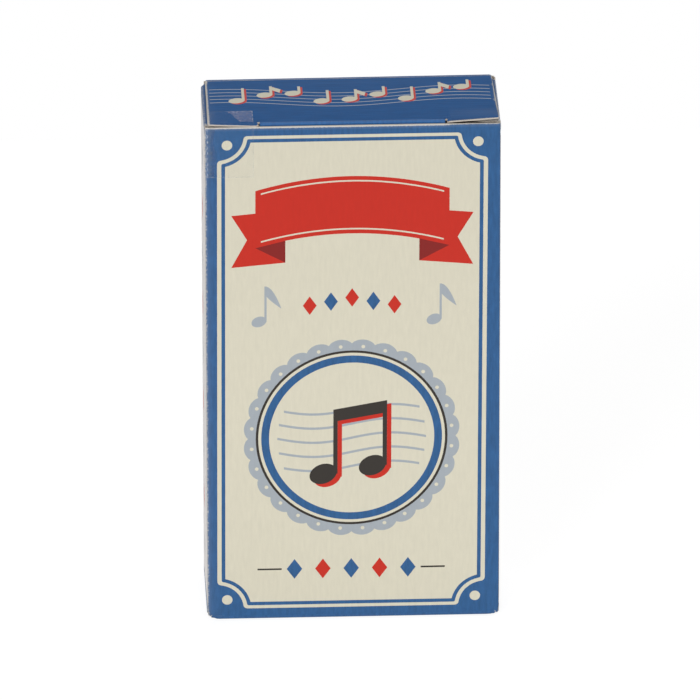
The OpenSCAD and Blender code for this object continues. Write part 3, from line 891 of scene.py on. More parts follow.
def newMaterial(name, group, values, relief, shader):
    # A Principled material fed by one group; plain numbers go on the shader's own sockets.
    material = bpy.data.materials.new(name)
    material.use_nodes = True
    tree = material.node_tree
    bsdf = tree.nodes["Principled BSDF"]
    node = tree.nodes.new("ShaderNodeGroup")
    node.node_tree = group
    for socket, value in values.items():
        isColor = node.inputs[socket].type == "RGBA"
        node.inputs[socket].default_value = (*value, 1) if isColor else value
    bump = tree.nodes.new("ShaderNodeBump")
    bump.inputs["Strength"].default_value, bump.inputs["Distance"].default_value = relief
    tree.links.new(node.outputs["Height"], bump.inputs["Height"])
    tree.links.new(bump.outputs[0], bsdf.inputs["Normal"])
    tree.links.new(node.outputs["Color"], bsdf.inputs["Base Color"])
    tree.links.new(node.outputs["Roughness"], bsdf.inputs["Roughness"])
    if "Alpha" in node.outputs:
        tree.links.new(node.outputs["Alpha"], bsdf.inputs["Alpha"])
    for socket, value in shader.items():
        bsdf.inputs[socket].default_value = value
    return material


def newInk(ink, color):
    # The blues show the streaks of their print. The lid's blue runs them along the lid and shines less;
    # it is the front's ink retuned for the way the top is lit, as painted shade.
    onLid = ink == "lidShadedBlue"
    values = {"Ink": color, "Rubbed": finish["rubbedColor"], "Gloss": finish["gloss"],
              "Grain": finish["lidGrain" if onLid else "grain"],
              "Streaks": finish["blueStreaks" if ink in finish["blues"] else "streaks"]}
    return newMaterial(ink + "Ink", coatedBoard, values, finish["inkRelief"],
                       {"Specular IOR Level": finish["lidSheen" if onLid else "sheen"]})


def newTape(name, tint, haze, edge):
    values = {"Tint": tint, "Haze": haze, "Edge": edge}
    return newMaterial(name, clearTape, values, finish["tapeRelief"], {"IOR": 1.45})


coatedBoard, rawBoard = makeCoatedBoard(), makeRawBoard()
clearTape, workedMetal = makeClearTape(), makeWorkedMetal()
inkMaterials = {ink: newInk(ink, color) for ink, color in inks.items()}
insideBoard = newMaterial("insideBoard", rawBoard, {"Tone": finish["insideColor"], "Fibres": 0.35},
                          (0.4, 0.00005), {"Specular IOR Level": 0.25})
cutBoard = newMaterial("cutBoard", rawBoard, {"Tone": finish["rawColor"], "Fibres": 0.8},
                       (0.6, 0.00005), {"Specular IOR Level": 0.2})
tapeMaterials = {name: newTape(name, *look) for name, look in {
    "tapeClear": ((0.40, 0.46, 0.58), 0.010, 0.12),
    "tapeHaze": ((0.42, 0.45, 0.68), 0.26, 0.10),
    # Two greyer translucent bands that lie beside the tape's toothed end.
    "tapeGreyBand": ((0.20, 0.26, 0.36), 0.22, 0.10),
    "tapeGreyBandThin": ((0.13, 0.175, 0.34), 0.20, 0.10),
    "tapeTeeth": ((0.36, 0.48, 0.72), 0.12, 0.5)}.items()}
platedIron = newMaterial("platedIron", workedMetal, {
    "Metal": (0.66, 0.665, 0.68), "Worn": (0.47, 0.45, 0.42), "Scratch Along": 1.3, "Scratch Across": 2.6,
    "Rough": 0.26}, (0.35, 0.00012), {"Metallic": 1.0})
springSteel = newMaterial("springSteel", workedMetal, {
    "Metal": (0.56, 0.57, 0.59), "Worn": (0.66, 0.66, 0.66), "Scratch Along": 0.25, "Scratch Across": 9.0,
    "Rough": 0.3}, (0.2, 0.00006), {"Metallic": 1.0})
print("materials:", len(bpy.data.materials))


# Building a sheet of board

flatSheet = {
    "slopeStep": 0.01, "mergeWithin": 1e-5, "smallestArea": 1e-7, "farAway": 99.0,
    "edgeZone": 0.05,  # where the board is crushed thinner
    "underAt": (300, 0),  # where the under side lies on the flat map
}


def edgeDistance(points, loop, joined):
    # Distance of each point to the outline's bare edges; joined says which edges carry on.
    a, b = loop, np.roll(loop, -1, 0)
    keep = ~joined(a, b)
    if not keep.any():
        return np.full(len(points), flatSheet["farAway"])
    a, b = a[keep], b[keep]
    along = b - a
    u = np.einsum("pej,ej->pe", points[:, None] - a[None], along) / np.maximum((along ** 2).sum(1), 1e-12)
    nearest = a[None] + np.clip(u, 0, 1)[..., None] * along[None]
    return np.linalg.norm(points[:, None] - nearest, axis=2).min(1)


def unitVectors(vectors):
    return vectors / np.maximum(np.linalg.norm(vectors, axis=1, keepdims=True), 1e-12)


def placeAndNormal(place, s, t, flip):
    # Points, and normals as the cross product of the two slopes, by small differences.
    h = flatSheet["slopeStep"]
    across = place(s + h, t) - place(s - h, t)
    along = place(s, t + h) - place(s, t - h)
    return place(s, t), unitVectors(np.cross(across, along) * flip)


def writeMesh(name, points, faces, slots, materials, flat, rub, loopNormals=None):
    # Triangles and quads into a mesh, with the flat map, the rub attribute and the materials.
    mesh = bpy.data.meshes.new(name)
    mesh.from_pydata(points * mm, [], faces)
    for material in materials:
        mesh.materials.append(material)
    mesh.polygons.foreach_set("material_index", np.asarray(slots, np.int32))
    mesh.polygons.foreach_set("use_smooth", np.ones(len(mesh.polygons), bool))
    corner = np.empty(len(mesh.loops), np.int32)
    mesh.loops.foreach_get("vertex_index", corner)
    layer = mesh.uv_layers.new(name="flat")
    layer.data.foreach_set("uv", np.asarray(flat, np.float32)[corner].ravel())
    attribute = mesh.attributes.new("rub", "FLOAT", "POINT")
    attribute.data.foreach_set("value", np.asarray(rub, np.float32))
    if loopNormals is not None:
        mesh.normals_split_custom_set(loopNormals)
    mesh.update()
    made = bpy.data.objects.new(name, mesh)
    bpy.context.collection.objects.link(made)
    return made


def turnedLeft(loop):
    # The loop in the order that keeps its area on the left, as the triangulation needs.
    loop = np.asarray(loop, float)
    after = np.roll(loop, -1, 0)
    area = (loop[:, 0] * after[:, 1] - loop[:, 1] * after[:, 0]).sum()
    return loop if area > 0 else loop[::-1]


def gridLines(low, high, lines, step):
    # Even lines between two ends, with the given ones among them.
    even = np.arange(low + step / 2, high, step)
    return np.unique(np.clip(np.round(np.concatenate([even, lines]), 3), low, high))


def cutFlat(outline, ground, prints, linesS, linesT, step, flip):
    # The outline, the printed areas and a grid of points divide the flat sheet into triangles.
    # Each has the ink of the top layer over it.
    low, high = outline.min(0), outline.max(0)
    gridS, gridT = gridLines(low[0], high[0], linesS, step), gridLines(low[1], high[1], linesT, step)
    inner = np.stack(np.meshgrid(gridS, gridT), -1).reshape(-1, 2)
    loops = [outline] + [turnedLeft(loop) for ink, loop in prints]
    starts = np.cumsum([0] + [len(loop) for loop in loops])
    faces = [list(range(a, b)) for a, b in zip(starts[:-1], starts[1:])]
    given = [Vector(p) for p in np.concatenate(loops + [inner]).tolist()]
    found = delaunay_2d_cdt(given, [], faces, 0, flatSheet["mergeWithin"], True)
    flat = np.array([tuple(p) for p in found[0]])
    inside = [(tri, ids) for tri, ids in zip(found[2], found[5]) if 0 in ids]
    tris = np.array([tri for tri, ids in inside])
    names = list(dict.fromkeys([ground] + [ink for ink, loop in prints]))
    inkOf = np.array([names.index(ground)] + [names.index(ink) for ink, loop in prints])
    slots = inkOf[[max(ids) for tri, ids in inside]]
    a, b, c = (flat[tris[:, k]] for k in range(3))
    area = (b[:, 0] - a[:, 0]) * (c[:, 1] - a[:, 1]) - (b[:, 1] - a[:, 1]) * (c[:, 0] - a[:, 0])
    keep = np.abs(area) > flatSheet["smallestArea"]
    tris, slots, area = tris[keep], slots[keep], area[keep]
    tris = np.where((area * flip < 0)[:, None], tris[:, ::-1], tris)
    used, tris = np.unique(tris, return_inverse=True)
    return flat[used], tris.reshape(-1, 3), slots, names


def buildSheet(name, outline, place, ground="blue", prints=(), linesS=(), linesT=(), step=2.5,
               thick=None, flip=1, joined=lambda a, b: np.zeros(len(a), bool), rub=None, rubReach=0.3,
               lift=0.0, skin=None, crush=0.4):
    # A sheet of board: the flat pieces are bent into the carton by place(s, t), once for the
    # printed side and once for the under side, with quads round the rim between the two.
    thick = board if thick is None else thick
    outline = turnedLeft(outline)
    flat, tris, slots, names = cutFlat(outline, ground, prints, linesS, linesT, step, flip)
    outer, normal = placeAndNormal(place, flat[:, 0], flat[:, 1], flip)
    outer = outer + normal * lift
    fromEdge = edgeDistance(flat, outline, joined)
    inward = outer - normal * (thick * (1 - crush * (fromEdge < flatSheet["edgeZone"])))[:, None]
    points, count = np.concatenate([outer, inward]), len(flat)
    edges = np.concatenate([tris[:, [0, 1]], tris[:, [1, 2]], tris[:, [2, 0]]])
    code = edges[:, 0].astype(np.int64) * count + edges[:, 1]
    bare = edges[~np.isin(code, edges[:, 1].astype(np.int64) * count + edges[:, 0])]
    rim = np.stack([bare[:, 1], bare[:, 0], bare[:, 0] + count, bare[:, 1] + count], 1)
    faces = tris.tolist() + (tris[:, ::-1] + count).tolist() + rim.tolist()
    shades, under, edge = skin or (inkMaterials, insideBoard, cutBoard)
    materials = [shades[ink] for ink in names] + [under, edge]
    faceSlots = np.concatenate([slots, np.full(len(tris), len(names)), np.full(len(rim), len(names) + 1)])
    rimNormal = unitVectors(np.cross(points[rim[:, 1]] - points[rim[:, 0]],
                                     points[rim[:, 3]] - points[rim[:, 0]]))
    loopNormals = np.concatenate([normal[tris.ravel()], -normal[tris[:, ::-1].ravel()],
                                  np.repeat(rimNormal, 4, axis=0)])
    worn = 1 - np.clip(fromEdge / rubReach, 0, 1)
    if rub is not None:
        worn = np.maximum(worn, rub(flat[:, 0], flat[:, 1]))
    bothSides = np.concatenate([flat, flat + flatSheet["underAt"]])
    return writeMesh(name, points, faces, faceSlots, materials, bothSides,
                     np.concatenate([worn, worn * 0]), loopNormals)


def near(value, target):
    return np.abs(value - target) < 0.02


def joinedAt(s=(), t=()):
    # Says that the edges along these lines of the outline carry on into the next piece.
    def test(a, b):
        found = np.zeros(len(a), bool)
        for axis, lines in ((0, s), (1, t)):
            for line in lines:
                found |= near(a[:, axis], line) & near(b[:, axis], line)
        return found
    return test


def fading(amount, distance, reach):
    # The amount, less and less with the distance, as a bell curve.
    return amount * np.exp(-(distance / reach) ** 2)


def addPiece(made, body, node):
    # A piece that rides on its body and stands for one solid.
    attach(made, body)
    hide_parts(node)


# The carton's walls

wall = {
    "creaseCut": 0.35,  # how far a crease's end stands back from the carton's end
    "creaseStep": 0.05,
    "frontMore": 0.12,  # how much higher the front's top edge stands than its solid
    "besideCrease": 0.35,
    "frontLines": (0.9, 1.2, 1.6, 2.1, 2.6, 3.4),
    "frontTopLines": (0.12, 0.3),
    "sideLines": (1.5, 1.8, 2.2, 116.1, 116.5, 117.1),
    "backLines": (3.4, 2.6, 1.6),
    "seamLine": 0.3,  # from the glued seam's edge
    "creaseRubAndHighlight": (0.5, 0.45),  # amount and reach
    # The wide faint paling beside a crease: a painted highlight where the board rounds over, partly wear.
    "creaseWearAndHighlight": (0.26, 1.44),
    "edgeRub": (1.25, 0.36),
    # Painted shade: the top edge's pale rub is made less under the lid's right shoulder, which shades it.
    "shoulderShade": (0.5, 19, 3),  # how much less under the lid's right shoulder, from where, over what
    "frontRubReach": 0.14,
    "glueStep": 4,
    "glueSlope": 4,
}
dustBack, dustFront = dustHigh.y / mm + carton["dustMore"], dustLow.y / mm


def halfCreases(*starts):
    # Lines across half a crease from each start.
    return np.concatenate([np.linspace(start, start + halfArc, 5) for start in starts])


def creaseRubAndHighlight(*lines):
    # Rubbed ink along creases: strongest on the line, with a wider and fainter paling beside it,
    # which is a painted highlight where the board rounds over, and partly wear.
    def rub(s, t):
        d = np.min([np.abs(s - line) for line in lines], axis=0)
        (amount, reach), (wearAndHighlight, wearAndHighlightReach) = wall["creaseRubAndHighlight"], wall["creaseWearAndHighlight"]
        return fading(amount, d, reach) + fading(wearAndHighlight, d, wearAndHighlightReach)
    return rub


def addFront():
    # The front with half of each upright crease. Its bare top edge is rubbed pale, less so under the
    # lid's right shoulder, as painted shade of that shoulder.
    edge, foot, cut = carton["endHalfWidth"], creaseRadius, wall["creaseCut"]
    top, past = carton["bareLevel"] + wall["frontMore"], edge + wall["creaseStep"]
    outline = [(-edge, foot), (edge, foot), (past, cut), (wallMid, cut), (wallMid, top),
               (-wallMid, top), (-wallMid, cut), (-past, cut)]
    beside = edge - wall["besideCrease"]
    rubbed, (amount, reach), (less, start, run) = creaseRubAndHighlight(-wallMid), wall["edgeRub"], wall["shoulderShade"]
    # Less pale under the right shoulder: painted shade of that shoulder.
    topRubAndShade = lambda s, t: fading(amount - less * ramp(s, start, run), top - t, reach)
    made = buildSheet("frontPanel", outline, wallPlace, "blue", frontPrint(),
                      [*halfCreases(-wallMid, edge), -beside, beside],
                      [*wall["frontLines"], *(top - down for down in wall["frontTopLines"])],
                      joined=joinedAt(s=(-wallMid, wallMid), t=(foot,)), rubReach=wall["frontRubReach"],
                      rub=lambda s, t: np.maximum(rubbed(s, t), topRubAndShade(s, t)), crush=0)
    addPiece(made, "sleeve", "front_panel")


def sideOutline(mid, way, far):
    # A side panel from its front crease to the far line, folded to a dust flap at both ends.
    at = lambda y: mid + way * y
    top, foldTop, foldFoot = carton["bareLevel"], carton["bareLevel"] - creaseRadius, bareGap + creaseRadius
    start = at(carton["creaseSaving"] - halfDepth)
    return [(start, bareGap), (at(-dustBack), bareGap), (at(-dustBack), foldFoot),
            (at(-dustFront), foldFoot), (at(-dustFront), bareGap), (far, bareGap), (far, top),
            (at(dustBack), top), (at(dustBack), foldTop), (at(dustFront), foldTop),
            (at(dustFront), top), (start, top)]


def addSides():
    # The right panel reaches to the back crease, and the left one laps over the glued seam.
    folds = (carton["bareLevel"] - creaseRadius, bareGap + creaseRadius)
    mid = (wallMid + rightEnd) / 2
    made = buildSheet("rightPanel", sideOutline(mid, 1, rightEnd), wallPlace, "blue", sidePrint(mid),
                      halfCreases(wallMid, rightEnd - halfArc), wall["sideLines"],
                      joined=joinedAt(s=(rightEnd,), t=folds), rub=creaseRubAndHighlight(wallMid, rightEnd))
    addPiece(made, "sleeve", "right_panel")
    made = buildSheet("leftPanel", sideOutline(-mid, -1, leftEnd), wallPlace, "blue", sidePrint(-mid),
                      [*halfCreases(-wallMid - halfArc), leftEnd + wall["seamLine"]], wall["sideLines"],
                      joined=joinedAt(t=folds), rub=creaseRubAndHighlight(-wallMid))
    addPiece(made, "sleeve", "left_panel")


def addBack():
    # The back with half of each upright crease, up to the lid's fold.
    high, foldTop = height - wall["creaseCut"], height - creaseRadius
    first, last = rightEnd + halfArc, backEnd - halfArc
    outline = [(rightEnd, bareGap), (backEnd, bareGap), (backEnd, high), (last, high),
               (last - wall["creaseStep"], foldTop), (first + wall["creaseStep"], foldTop),
               (first, high), (rightEnd, high)]
    made = buildSheet("backPanel", outline, wallPlace, "blue", backPrint(), halfCreases(rightEnd, last),
                      [*(height - down for down in wall["backLines"]), foldTop],
                      joined=joinedAt(s=(rightEnd, backEnd), t=(foldTop,)),
                      rub=creaseRubAndHighlight(rightEnd, backEnd))
    addPiece(made, "sleeve", "back_panel")


def addGlueFlap():
    # The flap under the left panel, with sloping ends.
    foot, top, slope = glueLow.z / mm, glueHigh.z / mm, wall["glueSlope"]
    start = backEnd + halfArc
    end = start + glueRun
    outline = [(backEnd, foot), (start, foot), (end, foot + slope), (end, top - slope), (start, top),
               (backEnd, top)]
    made = buildSheet("glueFlap", outline, wallPlace, "sideCream", (), halfCreases(backEnd), (),
                      step=wall["glueStep"], joined=joinedAt(s=(backEnd,)))
    addPiece(made, "sleeve", "glue_flap")


# The lid and the bottom: a panel, a tuck flap, two dust flaps and the folds between them

closure = {
    "corner": ((0, 0.5), (0.15, 0.15), (0.5, 0)),  # of the panel, in from its side and its edge
    "mouth": 0.35,  # of a slit, where it opens at the panel's edge
    "hookFrom": 0.15,
    "hook": ((0.18, -0.1), (0.04, 0.1)),  # out from the slit's outer side, and past its depth
    "hookIn": 0.05,
    "slitZone": (0.55, 0.3),  # where edges count as a slit's and aren't rubbed: half width and start
    "slitLines": (20.6, 21.4, 22.4),
    "sideLines": (0.12, 0.3),
    "linesT": (-12.15, -11.9, -11.4, 10.6, 11.3),
    "tuckLine": 0.3,
    "foldLinesS": (29.3, 30, 30.5, 30.9),
    "panelStep": 1.6,
    "flapStep": 3,
    "panelRubReach": 0.2,
    "rightRub": (1.1, 0.24),  # along the panel's side, amount and reach
    "leftRub": (1.5, 0.52),
    "foldRub": (0.1, 0.4),
    "tuckRub": (0.07, 0.3),
    "dustRub": (0.7, 0.6),
    "tuckBlend": (0.11, 0.8),  # where the tuck fold's bend ends, in from its crease and down
}
tuck = {"drop": 1.04, "length": 10, "corner": 5}
dust = {"corner": 2.5, "root": 3, "taperBack": math.radians(25), "taperFront": math.radians(14),
        "inkedTo": -3.6, "inkPast": 1}


def lidOutline():
    # The lid from its back fold to its tuck fold, with a hooked slit and a shoulder at each side.
    edge, slit, half = carton["endHalfWidth"], carton["slitAt"], carton["slitWidth"] / 2
    depth, reach, outer = tuckY + carton["slitDepth"], lidLow.y / mm, slit + half
    loop = np.array([
        (edge, backEdge), *((edge - x, reach + y) for x, y in closure["corner"]),
        (outer + closure["mouth"], reach), (outer, reach + closure["mouth"]),
        (outer, tuckY + closure["hookFrom"]), *((outer + x, depth + y) for x, y in closure["hook"]),
        (slit - closure["hookIn"], depth), (slit - half, tuckStart)])
    return np.concatenate([loop, loop[::-1] * (-1, 1)])


def atSlit(a):
    # Says which edges belong to a slit, by where they start.
    wide, start = closure["slitZone"]
    return (np.abs(np.abs(a[:, 0]) - carton["slitAt"]) < wide) & (a[:, 1] > lidLow.y / mm + start)


def tuckOutline():
    # The tuck flap below its fold, round at its free corners. Its sizes count from where the
    # flat lid and the flap would meet without the fold's round.
    inner, wide = carton["slitAt"] - carton["slitWidth"], (tuckHigh.x - tuckLow.x) / 2 / mm
    r, lean, start = carton["tuckCreaseRadius"], carton["tuckLean"], tuckStart - tuckArc
    saved = math.hypot(tuckStart - tuckY - r * math.cos(lean), r * (1 + math.sin(lean)))
    level = lambda down: start - (down - saved)
    radius, root = tuck["corner"], level(tuck["drop"])
    corner = arcPoints(wide - radius, level(tuck["length"]) + radius, radius, 0, -90, 10)
    side = np.concatenate([[(inner, start), (inner, root), (wide, root)], corner])
    return np.concatenate([side, side[::-1] * (-1, 1)])


def dustOutline():
    # A dust flap past its fold: one edge tapers more than the other, and both corners are round.
    r, root, back, front = dust["corner"], dust["root"], dust["taperBack"], dust["taperFront"]
    run = round((dustHigh.x - dustLow.x) / mm) - r
    backCentre = dustBack - run * math.tan(back) - r / math.cos(back)
    frontCentre = dustFront + (run - root) * math.tan(front) + r / math.cos(front)
    saved = creaseArc - creaseRadius
    return np.concatenate([
        [(dustFront, -creaseArc), (dustFront, -root - saved)],
        arcPoints(frontCentre, -run - saved, r, 180 + math.degrees(front), 270, 8),
        arcPoints(backCentre, -run - saved, r, 270, 360 - math.degrees(back), 8),
        [(dustBack, -creaseArc)]])


def endPlace(isTop, flat):
    # The panel's strip at the top or at the bottom; flat keeps the shoulders out of the tuck fold.
    if isTop:
        return raised(lambda s, t: lidPlace(s, t, "topCorner", flat))
    return turnedOver(lambda s, t: lidPlace(s, t, "footCorner", flat))


def addPanel(isTop, body):
    # The lid or the bottom with its fold to the wall. Its sides are rubbed, most on the left.
    place, edge = endPlace(isTop, True), carton["endHalfWidth"]
    (rightRub, rightReach), (leftRub, leftReach) = closure["rightRub"], closure["leftRub"]
    made = buildSheet(body + "Panel", lidOutline(), place, "lidShadedBlue", lidPrint() if isTop else (),
                      [side * x for x in (*closure["slitLines"], *(edge - d for d in closure["sideLines"]))
                       for side in (-1, 1)],
                      [*closure["linesT"], tuckStart + closure["tuckLine"]], step=closure["panelStep"],
                      joined=lambda a, b: joinedAt(t=(backEdge, tuckStart))(a, b) | atSlit(a),
                      rub=lambda s, t: fading(np.where(s > 0, rightRub, leftRub), edge - np.abs(s),
                                              np.where(s > 0, rightReach, leftReach)),
                      rubReach=closure["panelRubReach"])
    addPiece(made, body, body + "_panel")
    last, (amount, reach) = backEdge + creaseArc, closure["foldRub"]
    fold = buildSheet(body + "Fold", rectangle(-edge, backEdge, edge, last), place,
                      "lidShadedBlue" if isTop else "blue", (),
                      [side * x for x in closure["foldLinesS"] for side in (-1, 1)],
                      np.linspace(backEdge, last, 9),
                      joined=joinedAt(s=() if isTop else (-edge, edge), t=(backEdge, last)),
                      rub=lambda s, t: fading(amount, t - (backEdge + last) / 2, reach))
    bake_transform(fold)


def addTuck(isTop, body):
    # The tuck flap with its fold between the two slits.
    place, (amount, reach) = endPlace(isTop, False), closure["tuckRub"]
    edge, first = carton["slitAt"] - carton["slitWidth"] / 2, tuckStart - tuckArc
    # Its fold is printed in the lighter blue, a painted highlight where it bends towards the light.
    fold = buildSheet(body + "TuckFold", rectangle(-edge, first, edge, tuckStart), place, "foldHighlightBlue", (),
                      (), np.linspace(first, tuckStart, 9),
                      joined=joinedAt(s=(-edge, edge), t=(first, tuckStart)),
                      rub=lambda s, t: fading(amount, t - (first + tuckStart) / 2, reach))
    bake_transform(fold)
    made = buildSheet(body + "TuckFlap", tuckOutline(), place, "lidShadedBlue", step=closure["flapStep"],
                      joined=joinedAt(t=(first,)))
    addPiece(made, body + "_tuck", body + "_tuck_flap")


def addDust(isTop, side, flip):
    # A dust flap, inked blue near its fold, and the fold itself.
    over, end = (raised, "top") if isTop else (turnedOver, "bottom")
    place = over(dustPlace if flip > 0 else mirrored(dustPlace))
    body, title = end + "_" + side + "_dust", end + side.capitalize()
    past = dust["inkPast"]
    inked = rectangle(dustFront - past, dust["inkedTo"], dustBack + past, past)
    made = buildSheet(title + "DustFlap", dustOutline(), place, "sideCream", [("lidShadedBlue", inked)],
                      step=closure["flapStep"], flip=flip, joined=joinedAt(t=(-creaseArc,)))
    addPiece(made, body, body + "_flap")
    amount, reach = closure["dustRub"]
    fold = buildSheet(title + "DustFold", rectangle(dustFront, -creaseArc, dustBack, 0), place, "lidShadedBlue",
                      linesT=np.linspace(-creaseArc, 0, 9), flip=flip, joined=joinedAt(t=(-creaseArc, 0)),
                      rub=lambda s, t: fading(amount, t + halfArc, reach))
    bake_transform(fold)


def addClosure(isTop):
    # The four pieces of one end with their folds.
    body = "lid" if isTop else "bottom"
    addPanel(isTop, body)
    addTuck(isTop, body)
    addDust(isTop, "left", 1)
    addDust(isTop, "right", -1)


# Clear tape over the lid's front edge

tape = {
    "thick": 0.06, "gap": 0.01, "shift": -0.87, "tooth": 1.16, "toothShare": 0.6, "step": 0.8,
    "inset": (0.9, 0.2),  # lines in from the toothed end and from the other edges
    "past": 1,  # how far the grey strips and the hazy patch are drawn past its edges
    "frontRubReach": 0.24, "lidRubReach": 0.22,
    "strips": (("tapeGreyBandThin", 3.2, 1), ("tapeGreyBand", 2.55, 0.5), ("tapeTeeth", 1.75, 0)),
    "wander": (0.25, 0.7),  # how far a strip's edge swings, and how fast
    "lidGap": 0.15,
    "patchFrom": -26.6, "patchLow": 0.9, "patchDepth": 4.3, "patchRun": 2.6,
}


def toothedOutline(low, high):
    # A piece of tape from corner to corner, with a saw-toothed left end.
    teeth = int((high[1] - low[1]) / tape["tooth"])
    y = np.linspace(low[1], high[1], 2 * teeth + 1)
    x = low[0] + np.where(np.arange(len(y)) % 2, tape["tooth"] * tape["toothShare"], 0)
    return np.concatenate([np.stack([x, y], 1), [(high[0], high[1]), (high[0], low[1])]])


def tapeBox(node):
    # The corners of a piece of tape, in millimetres, where the photograph has it.
    return (np.array(v) / mm + (tape["shift"], 0, 0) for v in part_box(node))


def buildTape(name, low, high, place, prints, rubReach):
    # A thin clear sheet that lies just over the board.
    toothed, other = tape["inset"]
    clear = tapeMaterials["tapeClear"]
    return buildSheet(name, toothedOutline(low, high), place, "tapeClear", prints,
                      [low[0] + toothed, high[0] - other], [low[1] + other, high[1] - other], tape["step"],
                      tape["thick"], lift=tape["thick"] + tape["gap"], rubReach=rubReach,
                      skin=(tapeMaterials, clear, clear))


def addTape():
    # Two greyer translucent strips by the toothed end, wandering as a sine, and a hazy patch over the lid.
    low, high = (v[[0, 2]] for v in tapeBox("tape_on_front"))
    past, (swung, speed) = tape["past"], tape["wander"]
    z = np.linspace(low[1] - past, high[1] + past, 30)
    left = low[0] - past + z * 0
    strips = [(name, bandBetween(z, left, left + reach + share * swung * np.sin(z * speed))[:, ::-1])
              for name, reach, share in tape["strips"]]
    made = buildTape("tapeOnFront", low, high, wallPlace, strips, tape["frontRubReach"])
    addPiece(made, "sleeve", "tape_on_front")
    low, high = (v[:2] for v in tapeBox("tape_on_lid"))
    low[0] = max(low[0], tape["lidGap"] - carton["endHalfWidth"])
    x = np.linspace(tape["patchFrom"], high[0] + past, 24)
    y = high[1] - tape["patchLow"] - tape["patchDepth"] * ramp(x, x[0], tape["patchRun"])
    made = buildTape("tapeOnLid", low, high, raised(lidPlace),
                     [("tapeHaze", bandBetween(x, y, high[1] + past + 0 * x))], tape["lidRubReach"])
    addPiece(made, "lid", "tape_on_lid")


# The jaw harp: a bar carried along the bow, shoulders and arms, and the reed

harpLow, harpHigh = (np.array(v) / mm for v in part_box("harp_frame"))
harp = {
    "y": (harpLow[1] + harpHigh[1]) / 2, "z": harpLow[2], "length": harpHigh[2] - harpLow[2],
    "bowRadius": harpHigh[0], "bowBar": (5.6, harpHigh[1] - harpLow[1]), "armBar": (3.9, 4.2),
    "shoulderRadius": 14, "bevel": 1.25, "cornerRound": 0.42, "endRound": 0.42,
    "sharpAbove": math.radians(50),
    "waves": ((1, 0.9, 1), (0.7, 1.73, 0), (0.5, 3.1, 2)),  # of the forged bar: share, speed and start
    "waviness": 0.05, "notchHalf": 2.2, "notchStep": 1e-4, "afterNotch": 0.03, "armFrom": 1.5, "armTo": 0.2,
    "girth": 15,  # round the bar, for its surface pattern
}
lip = {"in": 1.1, "out": 1.2, "high": 2.8, "power": 0.55, "sunk": 0.05, "slope": 0.12, "rub": 0.6,
       "patternScale": 2, "patternStart": (9, 200)}
reed = {
    "thick": 0.6, "rootWide": 3.8, "tipWide": 2.6, "gap": 0.35, "over": 2.8, "footWide": 5.3,
    "bendRadius": 1.8, "reach": 11, "hookRadius": 1.3, "hookTurn": math.radians(110), "cornerRound": 0.14,
    "cuts": (6, 24, 49), "blend": (3, 6, 6), "straight": 40,
    "footStep": 2e-6, "firstStation": 0.3,  # where the foot narrows, and the next station above it
}
cornerWear = (0.2, 0.8, 1.0, 0.8, 0.2)  # across each rounded corner of a bar
reedTop = harp["length"] + reed["over"]
reedSlope = (reed["rootWide"] - reed["tipWide"]) / 2 / reedTop
reedLean = math.atan(reedSlope)
reedRuns = [  # up the middle, over to the front, along, and round the hook
    (reedTop - reed["bendRadius"] - reed["thick"] / 2, 0, 0),
    (reed["bendRadius"] * right, right, 0),
    (reed["reach"] - reed["bendRadius"] - reed["hookRadius"] - reed["thick"] / 2, 0, 0),
    (reed["hookRadius"] * reed["hookTurn"], -reed["hookTurn"], 0)]


def buildSweep(name, rings, flat, rub, material):
    # A closed tube through rings of points, capped by flat polygons, with its faces outwards.
    count, around = rings.shape[:2]
    i, j = np.meshgrid(np.arange(count - 1), np.arange(around), indexing="ij")
    k = (j + 1) % around
    quads = np.stack([i * around + j, i * around + k, (i + 1) * around + k, (i + 1) * around + j], -1)
    quads = quads.reshape(-1, 4)
    points = rings.reshape(-1, 3)
    a, b, c, d = (points[quads[:, n]] for n in range(4))
    volume = np.einsum("ij,ij->", a, np.cross(b, c)) + np.einsum("ij,ij->", a, np.cross(c, d))
    faces = quads.tolist()
    caps = [list(range(around))[::-1], [(count - 1) * around + n for n in range(around)]]
    if volume < 0:
        faces = [face[::-1] for face in faces]
        caps = [cap[::-1] for cap in caps]
    made = writeMesh(name, points, faces + caps, np.zeros(len(faces) + 2), [material], flat.reshape(-1, 2),
                     np.broadcast_to(rub, (count, around)).ravel())
    made.data.set_sharp_from_angle(angle=harp["sharpAbove"])
    for cap in list(made.data.polygons)[-2:]:
        cap.use_smooth = False
    return made


def roundedRings(corners, radius):
    # Each corner of each section becomes five points of a short parabola.
    before, after = np.roll(corners, 1, 1) - corners, np.roll(corners, -1, 1) - corners
    p = corners + before / np.linalg.norm(before, axis=2, keepdims=True) * radius
    q = corners + after / np.linalg.norm(after, axis=2, keepdims=True) * radius
    u = np.linspace(0, 1, len(cornerWear))[None, None, :, None]
    curve = (1 - u) ** 2 * p[:, :, None] + 2 * u * (1 - u) * corners[:, :, None] + u * u * q[:, :, None]
    return curve.reshape(len(corners), -1, 2)


